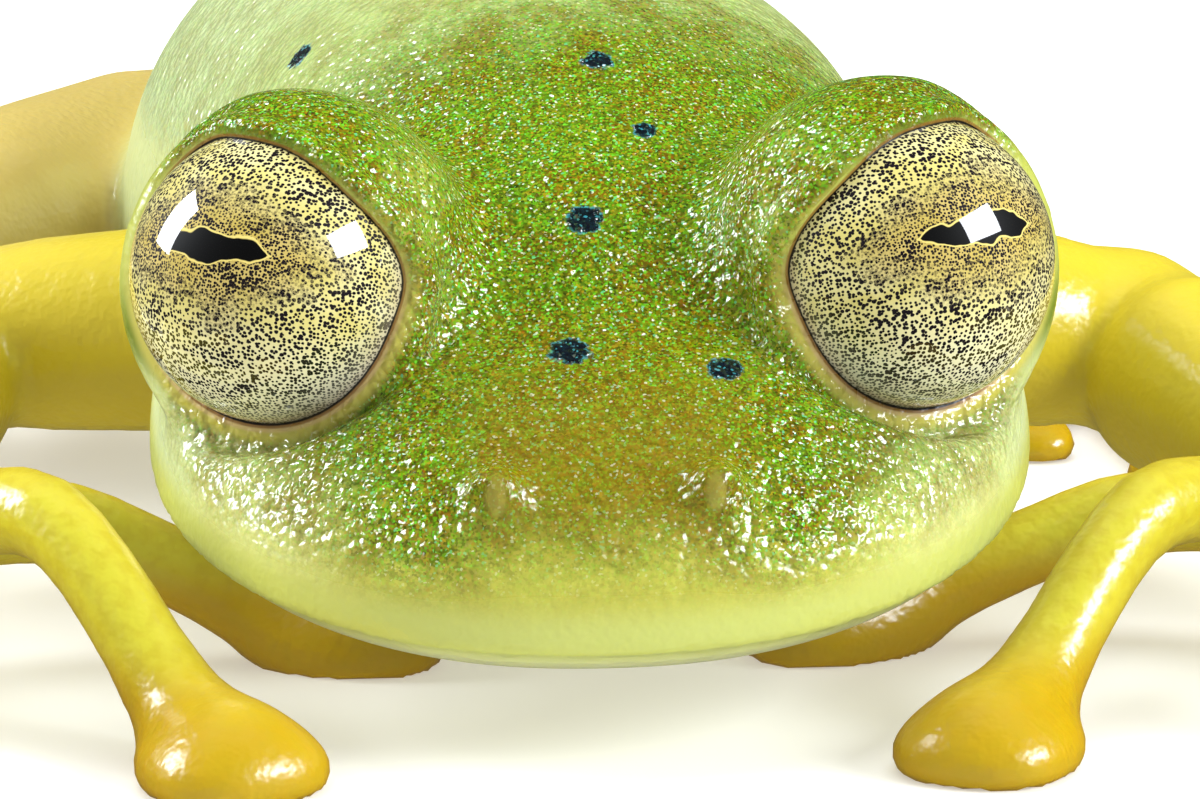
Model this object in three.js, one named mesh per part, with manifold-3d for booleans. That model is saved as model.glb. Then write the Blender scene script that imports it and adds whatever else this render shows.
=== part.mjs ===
// A glass frog at life size, sitting on a flat floor with its head held low and its fingers arched wide.
// Millimetres, +Z up, floor at z = 0. The snout points to -Y and the frog's left side is +X.
import * as THREE from "three";
import { mergeVertices } from "three/addons/utils/BufferGeometryUtils.js";
import Module from "manifold-3d";

const wasm = await Module();
wasm.setup();

// Driving sizes. Lengths are in mm and angles in degrees.
const JOINT_GAP = 0.3;
const EYE_GAP = 0.14;
const SHORTEST_EDGE = 0.006;

// The head has its own frame: x to the side, y back from the lip, z up from the line of the mouth.
const HEAD = { lipHeight: 1.4, pitch: 12.5, mouthLine: 0.05, mouthCorner: 8.2, core: [0, 5.2, 0.9] };
const FACE = { centre: [0, 6.3, 0.1], radii: [5.35, 6.3, 2.75], plan: 2.25, side: 2.2 };
const JAW = { centre: [0, 6.42, 0.1], radii: [5.22, 6.33, 1.85], plan: 2.25, side: 1.55 };
const BRAINCASE = { centre: [0, 8.8, 2.0], radii: [3.7, 5.0, 2.2], plan: 2, side: 2 };
const EYE_DOME = { centre: [3.5, 4.9, 2.74], radius: 2.15, blend: 0.9, sunk: 0.1 };
const NOSTRIL = { centre: [1.25, 0.98, 1.7], radius: 0.36, hole: 0.2 };
const EYEBALL = { centre: [3.7, 4.35, 2.99], radius: 1.75 };
const EYELID = { spread: 76, rise: 0.16, upper: 0.21, lower: 0.16 };
const EARDRUM = { centre: [4.45, 7.6, 1.75], radius: 0.5, rim: 0.15 };

// The trunk turns a little to the frog's right behind the neck.
const TRUNK = { pivot: 8.0, yaw: 11, neck: 8.8, front: 7.9, core: [4.4, 2.2] };
const CHEST = { centre: [0, 11.2, 4.35], radii: [4.1, 4.7, 3.75], tilt: 0 };
const BELLY = { centre: [0, 15.4, 4.0], radii: [4.5, 5.8, 4.35], tilt: -9 };
const PELVIS = { centre: [0, 21.3, 2.95], radii: [3.1, 5.1, 2.5], tilt: -20 };

// Limb joints and the radii of the flesh from one joint to the next.
const ARM = {
  shoulder: [3.1, 9.7, 3.5],
  elbow: { left: [7.2, 11.0, 2.75], right: [8.2, 11.3, 3.05] },
  wrist: [9.2, 6.5, 1.85],
  palm: [8.7, 5.3, 1.75],
  upperRadii: [1.4, 1.35, 1.25, 1.12],
  foreRadii: [1.08, 1.32, 1.1, 0.68],
};
const LEG = {
  hip: [1.5, 23.4, 3.1],
  knee: { left: [7.0, 15.9, 2.9], right: [8.3, 15.4, 3.45] },
  heel: [6.7, 25.0, 1.05],
  instep: [10.0, 19.9, 0.72],
  thighRadii: [1.7, 1.9, 1.72, 1.25],
  shankRadii: [1.15, 1.32, 1.12, 0.78],
  tarsusRadii: [0.78, 0.62, 0.6, 0.74],
};

// Each finger rises from the palm to its knuckle and comes down to a broad disc on the floor.
const FINGERS = [
  { name: "inner", knuckle: [6.4, 6.3, 1.45], neck: [4.0, 6.0, 0.6], disc: [2.85, 5.7], width: 1.3 },
  { name: "second", knuckle: [6.48, 2.95, 2.3], neck: [4.9, 1.15, 0.66], disc: [4.3, 0.1], width: 1.88 },
  { name: "third", knuckle: [8.6, 2.4, 2.15], neck: [9.0, -0.35, 0.6], disc: [9.1, -1.5], width: 1.9 },
  { name: "outer", knuckle: [10.7, 4.0, 1.75], neck: [12.3, 2.45, 0.58], disc: [13.05, 1.65], width: 1.6 },
];
const FINGER_RADIUS = 0.47;
const RIGHT_KNUCKLE_LIFT = 0.25;
const DISC_HEIGHT = 0.42;
const DISC_LENGTH = 0.88;
const HAND_WEB = { from: 2, to: 3, reach: 0.34 };
const PALM = { halfWidth: 1.15, halfLength: 1.2, halfHeight: 0.68 };

// Each toe lies along the floor: its length and its angle outwards from straight ahead.
const TOES = [
  { name: "first", length: 3.8, angle: -38 },
  { name: "second", length: 5.3, angle: -22 },
  { name: "third", length: 7.2, angle: -6 },
  { name: "fourth", length: 9.6, angle: 9 },
  { name: "fifth", length: 7.4, angle: 27 },
];
const TOE = { radius: 0.37, height: 0.34, discWidth: 1.12, webReach: 0.62, webHeight: 0.55 };

const SKIN_GREEN = new THREE.MeshStandardMaterial({ color: 0x86ad2b, roughness: 0.35, metalness: 0 });
const SKIN_YELLOW = new THREE.MeshStandardMaterial({ color: 0xd2c028, roughness: 0.35, metalness: 0 });
const EYE_GOLD = new THREE.MeshStandardMaterial({ color: 0xc9bd86, roughness: 0.12, metalness: 0 });

const radians = THREE.MathUtils.degToRad;
const vector = (point) => new THREE.Vector3(...point);

// Carries a point of the head's frame into the frog's frame.
const headMatrix = new THREE.Matrix4()
  .makeRotationX(radians(HEAD.pitch))
  .setPosition(0, 0, HEAD.lipHeight);
const headInverse = headMatrix.clone().invert();

// Carries a point of the straight trunk's frame into the frog's frame.
const trunkMatrix = new THREE.Matrix4()
  .makeTranslation(0, TRUNK.pivot, 0)
  .multiply(new THREE.Matrix4().makeRotationZ(radians(TRUNK.yaw)))
  .multiply(new THREE.Matrix4().makeTranslation(0, -TRUNK.pivot, 0));
const trunkInverse = trunkMatrix.clone().invert();

// Signed distance, measured along the ray from the centre, to a superellipsoid tipped about x.
function superellipsoid(point, { centre, radii, plan = 2, side = 2, tilt = 0 }) {
  const local = point.clone().sub(vector(centre));
  if (tilt) local.applyAxisAngle(new THREE.Vector3(1, 0, 0), -radians(tilt));
  const flat =
    Math.abs(local.x / radii[0]) ** plan + Math.abs(local.y / radii[1]) ** plan;
  const gauge = (flat ** (side / plan) + Math.abs(local.z / radii[2]) ** side) ** (1 / side);
  return local.length() * (1 - 1 / Math.max(gauge, 1e-9));
}

// The lesser of two distances, with the crease between them rounded over the blend width.
function blended(a, b, blend) {
  const overlap = Math.max(blend - Math.abs(a - b), 0) / blend;
  return Math.min(a, b) - (overlap * overlap * blend) / 4;
}

// The flesh under the eye domes in the head's frame: the face or the jaw with the braincase behind it.
function headField(point, front) {
  const mirrored = new THREE.Vector3(Math.abs(point.x), point.y, point.z);
  const skull = blended(superellipsoid(mirrored, front), superellipsoid(mirrored, BRAINCASE), 1.0);
  const dome = mirrored.distanceTo(vector(EYE_DOME.centre)) - EYE_DOME.radius + EYE_DOME.sunk;
  return blended(skull, dome, EYE_DOME.blend);
}

function trunkField(point) {
  const chest = superellipsoid(point, CHEST);
  const belly = superellipsoid(point, BELLY);
  const pelvis = superellipsoid(point, PELVIS);
  return blended(blended(chest, belly, 1.5), pelvis, 1.5);
}

// The whole of the head and trunk, in the frog's frame.
function bodyField(point, front) {
  const head = headField(point.clone().applyMatrix4(headInverse), front);
  const trunk = trunkField(point.clone().applyMatrix4(trunkInverse));
  return blended(head, trunk, 1.6);
}

// Distance along a ray from inside the flesh to where the field first reaches the level.
function castRay(start, direction, farthest, level, front = FACE) {
  const step = 0.2;
  const value = (distance) =>
    bodyField(start.clone().addScaledVector(direction, distance), front) - level;
  let inside = 0;
  while (inside + step < farthest && value(inside + step) < 0) inside += step;
  let outside = inside + step;
  for (let halving = 0; halving < 24; halving++) {
    const middle = (inside + outside) / 2;
    if (value(middle) < 0) inside = middle;
    else outside = middle;
  }
  return inside;
}

// A closed surface from rings of points, with a pole at each end.
function closedRings(rings, firstPole, lastPole) {
  const sides = rings[0].length;
  const points = [firstPole, ...rings.flat(), lastPole];
  const faces = [];
  const at = (ring, side) => 1 + ring * sides + (side % sides);
  for (let side = 0; side < sides; side++) {
    faces.push(0, at(0, side + 1), at(0, side));
    faces.push(points.length - 1, at(rings.length - 1, side), at(rings.length - 1, side + 1));
    for (let ring = 0; ring + 1 < rings.length; ring++) {
      faces.push(at(ring, side), at(ring, side + 1), at(ring + 1, side));
      faces.push(at(ring, side + 1), at(ring + 1, side + 1), at(ring + 1, side));
    }
  }
  const geometry = new THREE.BufferGeometry().setFromPoints(points);
  geometry.setIndex(faces);
  return geometry;
}

// A closed mesh as a solid whose faces point out.
function solid(geometry) {
  const bare = geometry.clone();
  bare.deleteAttribute("normal");
  bare.deleteAttribute("uv");
  const merged = mergeVertices(bare, 1e-5);
  const triVerts = new Uint32Array(merged.index.array);
  const vertProperties = new Float32Array(merged.attributes.position.array);
  const made = new wasm.Manifold(new wasm.Mesh({ numProp: 3, vertProperties, triVerts }));
  if (made.volume() > 0) return made;
  for (let i = 0; i < triVerts.length; i += 3) {
    [triVerts[i + 1], triVerts[i + 2]] = [triVerts[i + 2], triVerts[i + 1]];
  }
  return new wasm.Manifold(new wasm.Mesh({ numProp: 3, vertProperties, triVerts }));
}

const joined = (solids) => solids.reduce((sum, next) => sum.add(next));

// Only the largest closed surface of a solid.
function largest(whole) {
  const pieces = whole.decompose();
  return pieces.reduce((best, next) => (next.volume() > best.volume() ? next : best));
}

// A box between two corners, carried by a matrix.
function block(low, high, matrix = new THREE.Matrix4()) {
  const size = vector(high).sub(vector(low));
  const middle = vector(high).add(vector(low)).multiplyScalar(0.5);
  const box = new THREE.BoxGeometry(size.x, size.y, size.z).translate(middle.x, middle.y, middle.z);
  return solid(box.applyMatrix4(matrix));
}

const FAR = 60;
const floorBlock = block([-FAR, -FAR, -FAR], [FAR, FAR, 0]);

// The head as one closed surface cast from its core, pole to pole from the snout to the neck.
function headSurface(level, front, alongCount, aroundCount) {
  const core = vector(HEAD.core).applyMatrix4(headMatrix);
  const reach = 7.5;
  const cast = (polar, around) => {
    const direction = new THREE.Vector3(
      Math.sin(polar) * Math.sin(around),
      -Math.cos(polar),
      Math.sin(polar) * Math.cos(around),
    );
    return core.clone().addScaledVector(direction, castRay(core, direction, reach, level, front));
  };
  const rings = [];
  for (let ring = 1; ring < alongCount; ring++) {
    const row = [];
    for (let side = 0; side < aroundCount; side++) {
      row.push(cast((ring / alongCount) * Math.PI, (side / aroundCount) * 2 * Math.PI));
    }
    rings.push(row);
  }
  return solid(closedRings(rings, cast(0, 0), cast(Math.PI, 0)));
}

// The trunk as rings cast from a line inside it, closing at the vent.
function trunkSurface(level) {
  const ringCount = 17;
  const aroundCount = 30;
  const tail = vector(PELVIS.centre);
  const coreHeight = (back) => {
    const share = (back - TRUNK.front) / (tail.y - TRUNK.front);
    return THREE.MathUtils.lerp(TRUNK.core[0], TRUNK.core[1], Math.min(share, 1.2));
  };
  const start = new THREE.Vector3(0, tail.y, coreHeight(tail.y)).applyMatrix4(trunkMatrix);
  const backwards = new THREE.Vector3(0, 1, -0.1).normalize().transformDirection(trunkMatrix);
  const tailReach = castRay(start, backwards, 9, level);
  const tip = start.clone().addScaledVector(backwards, tailReach);
  const end = tail.y + tailReach * 0.985;
  const rings = [];
  for (let ring = 0; ring < ringCount; ring++) {
    const share = Math.sin(((ring / (ringCount - 1)) * Math.PI) / 2);
    const back = THREE.MathUtils.lerp(TRUNK.front, end, share);
    const core = new THREE.Vector3(0, back, coreHeight(back)).applyMatrix4(trunkMatrix);
    const row = [];
    for (let side = 0; side < aroundCount; side++) {
      const around = (side / aroundCount) * 2 * Math.PI;
      const direction = new THREE.Vector3(Math.sin(around), 0, Math.cos(around));
      direction.transformDirection(trunkMatrix);
      row.push(core.clone().addScaledVector(direction, castRay(core, direction, 7, level)));
    }
    rings.push(row);
  }
  const frontPole = new THREE.Vector3(0, TRUNK.front, TRUNK.core[0]).applyMatrix4(trunkMatrix);
  return solid(closedRings(rings, frontPole, tip));
}

// A round limb swept along a route, its radius read from a list and its ends rounded.
function limb(points, radii, { sides = 12, rings = 8, grow = 0 } = {}) {
  const route = new THREE.CatmullRomCurve3(points.map(vector), false, "centripetal");
  const radiusAt = (share) => {
    const place = share * (radii.length - 1);
    const index = Math.min(Math.floor(place), radii.length - 2);
    const ease = THREE.MathUtils.smoothstep(place - index, 0, 1);
    return THREE.MathUtils.lerp(radii[index], radii[index + 1], ease) + grow;
  };
  const frames = route.computeFrenetFrames(rings - 1, false);
  const capRings = 2;
  const made = [];
  const addRing = (centre, frame, radius) => {
    const row = [];
    for (let side = 0; side < sides; side++) {
      const turn = (side / sides) * 2 * Math.PI;
      row.push(
        centre
          .clone()
          .addScaledVector(frames.normals[frame], radius * Math.cos(turn))
          .addScaledVector(frames.binormals[frame], radius * Math.sin(turn)),
      );
    }
    made.push(row);
  };
  const first = route.getPointAt(0);
  const last = route.getPointAt(1);
  for (let cap = 1; cap <= capRings; cap++) {
    const tilt = (cap / (capRings + 1)) * (Math.PI / 2);
    const centre = first.clone().addScaledVector(frames.tangents[0], -radiusAt(0) * Math.cos(tilt));
    addRing(centre, 0, radiusAt(0) * Math.sin(tilt));
  }
  for (let ring = 0; ring < rings; ring++) {
    const share = ring / (rings - 1);
    addRing(route.getPointAt(share), ring, radiusAt(share));
  }
  for (let cap = capRings; cap >= 1; cap--) {
    const tilt = (cap / (capRings + 1)) * (Math.PI / 2);
    const centre = last
      .clone()
      .addScaledVector(frames.tangents[rings - 1], radiusAt(1) * Math.cos(tilt));
    addRing(centre, rings - 1, radiusAt(1) * Math.sin(tilt));
  }
  const firstPole = first.clone().addScaledVector(frames.tangents[0], -radiusAt(0));
  const lastPole = last.clone().addScaledVector(frames.tangents[rings - 1], radiusAt(1));
  return solid(closedRings(made, firstPole, lastPole));
}

// A flattened pad with a squared outline, turned to face along a heading on the floor.
function pad(centre, halfWidth, halfLength, height, heading, { sides = 14, rings = 7 } = {}) {
  const squareness = 2.6;
  const bow = (value) => Math.sign(value) * Math.abs(value) ** (2 / squareness);
  const matrix = new THREE.Matrix4().makeRotationZ(Math.atan2(-heading[0], heading[1]));
  matrix.setPosition(...centre);
  const made = [];
  for (let ring = 1; ring < rings; ring++) {
    const polar = (ring / rings) * Math.PI;
    const row = [];
    for (let side = 0; side < sides; side++) {
      const turn = (side / sides) * 2 * Math.PI;
      const across = halfWidth * Math.sin(polar) * bow(Math.cos(turn));
      const along = halfLength * Math.sin(polar) * bow(Math.sin(turn));
      row.push(new THREE.Vector3(across, along, height * Math.cos(polar)).applyMatrix4(matrix));
    }
    made.push(row);
  }
  const top = new THREE.Vector3(0, 0, height).applyMatrix4(matrix);
  const bottom = new THREE.Vector3(0, 0, -height).applyMatrix4(matrix);
  return solid(closedRings(made, top, bottom));
}

// A sheet of even thickness over a fan of points, from a root to a scalloped edge.
function web(root, edge, thickness) {
  const outline = [root, ...edge];
  const top = outline.map((p) => new THREE.Vector3(p[0], p[1], p[2] + thickness / 2));
  const bottom = outline.map((p) => new THREE.Vector3(p[0], p[1], p[2] - thickness / 2));
  const points = [...top, ...bottom];
  const count = outline.length;
  const faces = [];
  for (let i = 1; i + 1 < count; i++) {
    faces.push(0, i, i + 1);
    faces.push(count, count + i + 1, count + i);
  }
  for (let i = 0; i < count; i++) {
    const next = (i + 1) % count;
    faces.push(i, count + i, next);
    faces.push(next, count + i, count + next);
  }
  const geometry = new THREE.BufferGeometry().setFromPoints(points);
  geometry.setIndex(faces);
  return solid(geometry);
}

const between = (a, b, share) => a.map((value, i) => value + (b[i] - value) * share);

// The middle of a web's free edge is drawn back towards the root.
function webEdge(root, first, second, scallop) {
  const middle = between(between(first, second, 0.5), root, scallop);
  return [first, between(between(first, middle, 0.55), root, scallop * 0.35), middle,
    between(between(second, middle, 0.55), root, scallop * 0.35), second];
}

// The eye looks out of its dome along this direction, in the head's frame.
function eyeAxis(side) {
  const out = vector(EYEBALL.centre).sub(vector(EYE_DOME.centre)).normalize();
  return new THREE.Vector3(out.x * side, out.y, out.z);
}

// A rolled lid right round the eye, thicker above than below.
function eyelid(side) {
  const axis = eyeAxis(side);
  const upwards = new THREE.Vector3(0, 0, 1).addScaledVector(axis, -axis.z).normalize();
  const sideways = new THREE.Vector3().crossVectors(axis, upwards);
  const centre = new THREE.Vector3(EYEBALL.centre[0] * side, EYEBALL.centre[1], EYEBALL.centre[2]);
  const around = 24;
  const section = 6;
  const points = [];
  for (let step = 0; step < around; step++) {
    const turn = (step / around) * 2 * Math.PI;
    const rim = upwards.clone().multiplyScalar(Math.cos(turn)).addScaledVector(sideways, Math.sin(turn));
    const outward = axis
      .clone()
      .multiplyScalar(Math.cos(radians(EYELID.spread)))
      .addScaledVector(rim, Math.sin(radians(EYELID.spread)));
    const middle = centre.clone().addScaledVector(outward, EYEBALL.radius + EYELID.rise);
    const crossways = new THREE.Vector3().crossVectors(
      outward,
      new THREE.Vector3().crossVectors(axis, rim),
    );
    const thickness = THREE.MathUtils.lerp(EYELID.lower, EYELID.upper, (1 + Math.cos(turn)) / 2);
    for (let corner = 0; corner < section; corner++) {
      const roll = (corner / section) * 2 * Math.PI;
      points.push(
        middle
          .clone()
          .addScaledVector(outward, thickness * Math.cos(roll))
          .addScaledVector(crossways, thickness * Math.sin(roll))
          .applyMatrix4(headMatrix),
      );
    }
  }
  const faces = [];
  for (let step = 0; step < around; step++) {
    for (let corner = 0; corner < section; corner++) {
      const a = step * section + corner;
      const b = step * section + ((corner + 1) % section);
      const c = ((step + 1) % around) * section + corner;
      const d = ((step + 1) % around) * section + ((corner + 1) % section);
      faces.push(a, b, c, b, d, c);
    }
  }
  const geometry = new THREE.BufferGeometry().setFromPoints(points);
  geometry.setIndex(faces);
  return solid(geometry);
}

// A ball at a place of the head's frame, mirrored to one side.
function headBall(centre, radius, side, across, down) {
  const ball = new THREE.SphereGeometry(radius, across, down);
  ball.translate(centre[0] * side, centre[1], centre[2]);
  return solid(ball.applyMatrix4(headMatrix));
}

// The eardrum is a low ring behind the eye, lying in the side of the head.
function eardrum(side) {
  const ring = new THREE.TorusGeometry(EARDRUM.radius, EARDRUM.rim, 6, 14);
  ring.rotateY(side * radians(78));
  ring.translate(EARDRUM.centre[0] * side, EARDRUM.centre[1], EARDRUM.centre[2]);
  return solid(ring.applyMatrix4(headMatrix));
}

const mirroredPoint = (point, side) => [point[0] * side, point[1], point[2]];

// The head and the slightly narrower jaw are parted along the line of the mouth.
function headPieces() {
  const behindNeck = block([-FAR, TRUNK.neck - JOINT_GAP / 2, -FAR], [FAR, FAR, FAR]);
  const upper = headSurface(0, FACE, 32, 42).subtract(behindNeck);
  const lower = headSurface(0, JAW, 22, 32).subtract(behindNeck);
  const half = JOINT_GAP / 2;
  const mouth = HEAD.mouthLine;
  const corner = HEAD.mouthCorner;
  const below = block([-FAR, -FAR, -FAR], [FAR, corner + half, mouth + half], headMatrix);
  const jawSpace = block([-FAR, -FAR, -FAR], [FAR, corner - half, mouth - half], headMatrix);
  const additions = [];
  const cutters = [below];
  for (const side of [1, -1]) {
    additions.push(eyelid(side), eardrum(side));
    additions.push(headBall(EYE_DOME.centre, EYE_DOME.radius, side, 26, 18));
    additions.push(headBall(NOSTRIL.centre, NOSTRIL.radius, side, 12, 8));
    cutters.push(headBall(EYEBALL.centre, EYEBALL.radius + EYE_GAP, side, 22, 15));
    const opening = [
      NOSTRIL.centre[0] + NOSTRIL.radius * 0.68,
      NOSTRIL.centre[1] - NOSTRIL.radius * 0.75,
      NOSTRIL.centre[2] + NOSTRIL.radius * 0.2,
    ];
    cutters.push(headBall(opening, NOSTRIL.hole, side, 8, 6));
  }
  const head = largest(joined([upper, ...additions]).subtract(joined(cutters)));
  const jaw = largest(lower.intersect(jawSpace).subtract(floorBlock));
  return { head, jaw };
}

function handSolid(side) {
  const palm = mirroredPoint(ARM.palm, side);
  const wrist = mirroredPoint(ARM.wrist, side);
  const towards = [palm[0] - wrist[0], palm[1] - wrist[1]];
  const parts = [
    limb([wrist, palm], [0.66, 0.74], { sides: 10, rings: 3 }),
    pad(palm, PALM.halfWidth, PALM.halfLength, PALM.halfHeight, towards, { sides: 12, rings: 6 }),
  ];
  const lift = side < 0 ? RIGHT_KNUCKLE_LIFT : 0;
  const anchors = [];
  for (const finger of FINGERS) {
    const knuckle = mirroredPoint(finger.knuckle, side);
    knuckle[2] += lift;
    const neck = mirroredPoint(finger.neck, side);
    const disc = [finger.disc[0] * side, finger.disc[1], DISC_HEIGHT * 0.55];
    const root = between(palm, knuckle, 0.16);
    const radii = [1.3, 1.05, 1.08, 0.95, 1.02, 1.06].map((share) => share * FINGER_RADIUS);
    parts.push(limb([root, knuckle, neck, disc], radii, { sides: 7, rings: 9 }));
    const heading = [disc[0] - neck[0], disc[1] - neck[1]];
    parts.push(pad(disc, finger.width / 2, DISC_LENGTH, DISC_HEIGHT, heading, { sides: 12, rings: 5 }));
    anchors.push(between(knuckle, neck, HAND_WEB.reach));
  }
  const first = anchors[HAND_WEB.from];
  const second = anchors[HAND_WEB.to];
  parts.push(web(palm, webEdge(palm, first, second, 0.3), 0.5));
  return joined(parts);
}

// A point laid out beside the straight trunk, mirrored to one side and turned with the trunk.
const turned = (point, side) =>
  vector(mirroredPoint(point, side)).applyMatrix4(trunkMatrix).toArray();

// The toes fan out from the end of the instep and rest along the floor.
function footSolid(side) {
  const [x, y, height] = LEG.instep;
  const low = [x, y, TOE.height];
  const tips = TOES.map((toe) => [
    x + toe.length * Math.sin(radians(toe.angle)),
    y - toe.length * Math.cos(radians(toe.angle)),
    TOE.height,
  ]);
  const parts = [];
  TOES.forEach((toe, index) => {
    const tip = tips[index];
    const root = [x + 0.13 * (index - 2), y + 0.1 * index, height - 0.12];
    const rise = between(low, tip, 0.45);
    rise[2] += 0.12;
    const nearTip = between(low, tip, 1 - TOE.radius / toe.length);
    const radii = [1.15, 1.1, 1, 0.9].map((share) => share * TOE.radius);
    const route = [root, rise, nearTip].map((point) => turned(point, side));
    parts.push(limb(route, radii, { sides: 6, rings: 6 }));
    const disc = turned([tip[0], tip[1], TOE.height * 0.55], side);
    const heading = [disc[0] - route[2][0], disc[1] - route[2][1]];
    const halfLength = TOE.discWidth * 0.48;
    parts.push(pad(disc, TOE.discWidth / 2, halfLength, TOE.height, heading, { sides: 10, rings: 5 }));
  });
  const root = [x, y, TOE.webHeight * 0.62];
  const rootTurned = turned(root, side);
  for (let gap = 0; gap + 1 < TOES.length; gap++) {
    const reach = TOE.webReach * (gap === 0 ? 0.75 : 1);
    const share = (reach * TOES[gap].length) / TOES[gap + 1].length;
    const [first, second] = [[tips[gap], reach], [tips[gap + 1], Math.min(share * 1.12, 0.8)]].map(
      ([tip, part]) => turned(between(root, [tip[0], tip[1], root[2]], part), side),
    );
    parts.push(web(rootTurned, webEdge(rootTurned, first, second, 0.16), 0.5));
  }
  return joined(parts);
}

// Draws together the ends of edges that cutting and joining left too short, keeping the lower one.
function cleaned(whole) {
  const { vertProperties, triVerts } = whole.getMesh();
  const points = [];
  for (let i = 0; i < vertProperties.length; i += 3) {
    points.push(new THREE.Vector3().fromArray(vertProperties, i));
  }
  const kept = points.map((_, index) => index);
  const keptFor = (index) => {
    while (kept[index] !== index) index = kept[index];
    return index;
  };
  for (let i = 0; i < triVerts.length; i += 3) {
    for (let edge = 0; edge < 3; edge++) {
      const a = keptFor(triVerts[i + edge]);
      const b = keptFor(triVerts[i + ((edge + 1) % 3)]);
      if (a === b || points[a].distanceTo(points[b]) > SHORTEST_EDGE) continue;
      if (points[a].z < points[b].z) kept[b] = a;
      else kept[a] = b;
    }
  }
  const faces = [];
  for (let i = 0; i < triVerts.length; i += 3) {
    const [a, b, c] = [0, 1, 2].map((corner) => keptFor(triVerts[i + corner]));
    if (a !== b && b !== c && c !== a) faces.push(a, b, c);
  }
  const geometry = new THREE.BufferGeometry().setFromPoints(points);
  geometry.setIndex(faces);
  return solid(geometry);
}

const frog = new THREE.Group();

// Adds a solid to the frog as a named mesh.
function place(name, whole, material) {
  const made = largest(cleaned(largest(whole))).getMesh();
  const geometry = new THREE.BufferGeometry();
  geometry.setAttribute("position", new THREE.BufferAttribute(made.vertProperties, 3));
  geometry.setIndex(new THREE.BufferAttribute(made.triVerts, 1));
  const mesh = new THREE.Mesh(geometry, material);
  mesh.name = name;
  frog.add(mesh);
}

const { head, jaw } = headPieces();
place("head", head, SKIN_GREEN);
place("lower_jaw", jaw, SKIN_YELLOW);

const trunk = trunkSurface(0)
  .subtract(block([-FAR, -FAR, -FAR], [FAR, TRUNK.neck + JOINT_GAP / 2, FAR]))
  .subtract(floorBlock);
const trunkCutter = trunkSurface(JOINT_GAP).add(headSurface(JOINT_GAP, FACE, 20, 28));
place("torso", trunk, SKIN_GREEN);

for (const [word, side] of [["left", 1], ["right", -1]]) {
  place(`eye_${word}`, headBall(EYEBALL.centre, EYEBALL.radius, side, 22, 15), EYE_GOLD);

  const shoulder = mirroredPoint(ARM.shoulder, side);
  const elbow = mirroredPoint(ARM.elbow[word], side);
  const wrist = mirroredPoint(ARM.wrist, side);
  const upperArm = (grow) => limb([shoulder, elbow], ARM.upperRadii, { grow });
  const forearm = (grow) => limb([elbow, wrist], ARM.foreRadii, { grow });
  place(`upper_arm_${word}`, upperArm(0).subtract(trunkCutter), SKIN_GREEN);
  place(`forearm_${word}`, forearm(0).subtract(upperArm(JOINT_GAP)), SKIN_YELLOW);
  place(`hand_${word}`, handSolid(side).subtract(forearm(JOINT_GAP)).subtract(floorBlock), SKIN_YELLOW);

  const [hip, knee, heel, instep] = [LEG.hip, LEG.knee[word], LEG.heel, LEG.instep].map((point) =>
    turned(point, side),
  );
  const thigh = (grow) => limb([hip, knee], LEG.thighRadii, { grow, sides: 14 });
  const shank = (grow) => limb([knee, heel], LEG.shankRadii, { grow });
  const tarsus = (grow) => limb([heel, instep], LEG.tarsusRadii, { grow, sides: 10, rings: 5 });
  place(`thigh_${word}`, thigh(0).subtract(trunkCutter), SKIN_GREEN);
  place(`shank_${word}`, shank(0).subtract(thigh(JOINT_GAP)).subtract(trunkCutter), SKIN_GREEN);
  place(`tarsus_${word}`, tarsus(0).subtract(shank(JOINT_GAP)).subtract(floorBlock), SKIN_YELLOW);
  place(
    `foot_${word}`,
    footSolid(side).subtract(tarsus(JOINT_GAP)).subtract(shank(JOINT_GAP)).subtract(floorBlock),
    SKIN_YELLOW,
  );
}

// The origin lies on the floor under the middle of the frog's bounding box.
const extent = new THREE.Box3().setFromObject(frog);
frog.position.set(-(extent.min.x + extent.max.x) / 2, -(extent.min.y + extent.max.y) / 2, -extent.min.z);

export default frog;
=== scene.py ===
"""A glass frog at life size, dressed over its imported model: one skin, two wet eyes and a pale studio."""

from __future__ import annotations

import logging
import math
from dataclasses import dataclass, field
from enum import Enum

import bpy
import numpy as np
from mathutils import Matrix, Vector


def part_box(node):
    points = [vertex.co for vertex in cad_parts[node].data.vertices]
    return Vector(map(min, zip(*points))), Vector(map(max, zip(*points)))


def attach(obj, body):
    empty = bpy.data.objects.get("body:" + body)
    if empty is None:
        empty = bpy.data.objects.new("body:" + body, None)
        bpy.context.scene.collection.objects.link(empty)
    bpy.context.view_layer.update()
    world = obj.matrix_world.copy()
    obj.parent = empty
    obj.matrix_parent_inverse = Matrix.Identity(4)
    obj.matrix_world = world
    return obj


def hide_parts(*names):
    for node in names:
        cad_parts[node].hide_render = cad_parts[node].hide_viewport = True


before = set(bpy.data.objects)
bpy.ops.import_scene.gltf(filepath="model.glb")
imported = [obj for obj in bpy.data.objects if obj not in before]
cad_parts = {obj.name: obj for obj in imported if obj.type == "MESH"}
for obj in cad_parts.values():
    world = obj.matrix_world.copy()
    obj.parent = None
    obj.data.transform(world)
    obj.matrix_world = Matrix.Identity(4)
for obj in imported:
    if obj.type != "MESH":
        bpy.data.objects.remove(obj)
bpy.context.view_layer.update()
LOG = logging.getLogger("glass_frog")

MM = 0.001
PIGMENT = 0.72
FAR = 9.0
SIDES = {"left": 1.0, "right": -1.0}
Array = np.ndarray
Socket = bpy.types.NodeSocket
Point = tuple[float, float, float]
Tone = tuple[int, int, int]


class Zone(Enum):
    """The regions of skin that differ in colour and grain."""

    CROWN = "crown"
    LIMB = "limb"
    HAND = "hand"
    FOOT = "foot"


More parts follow.
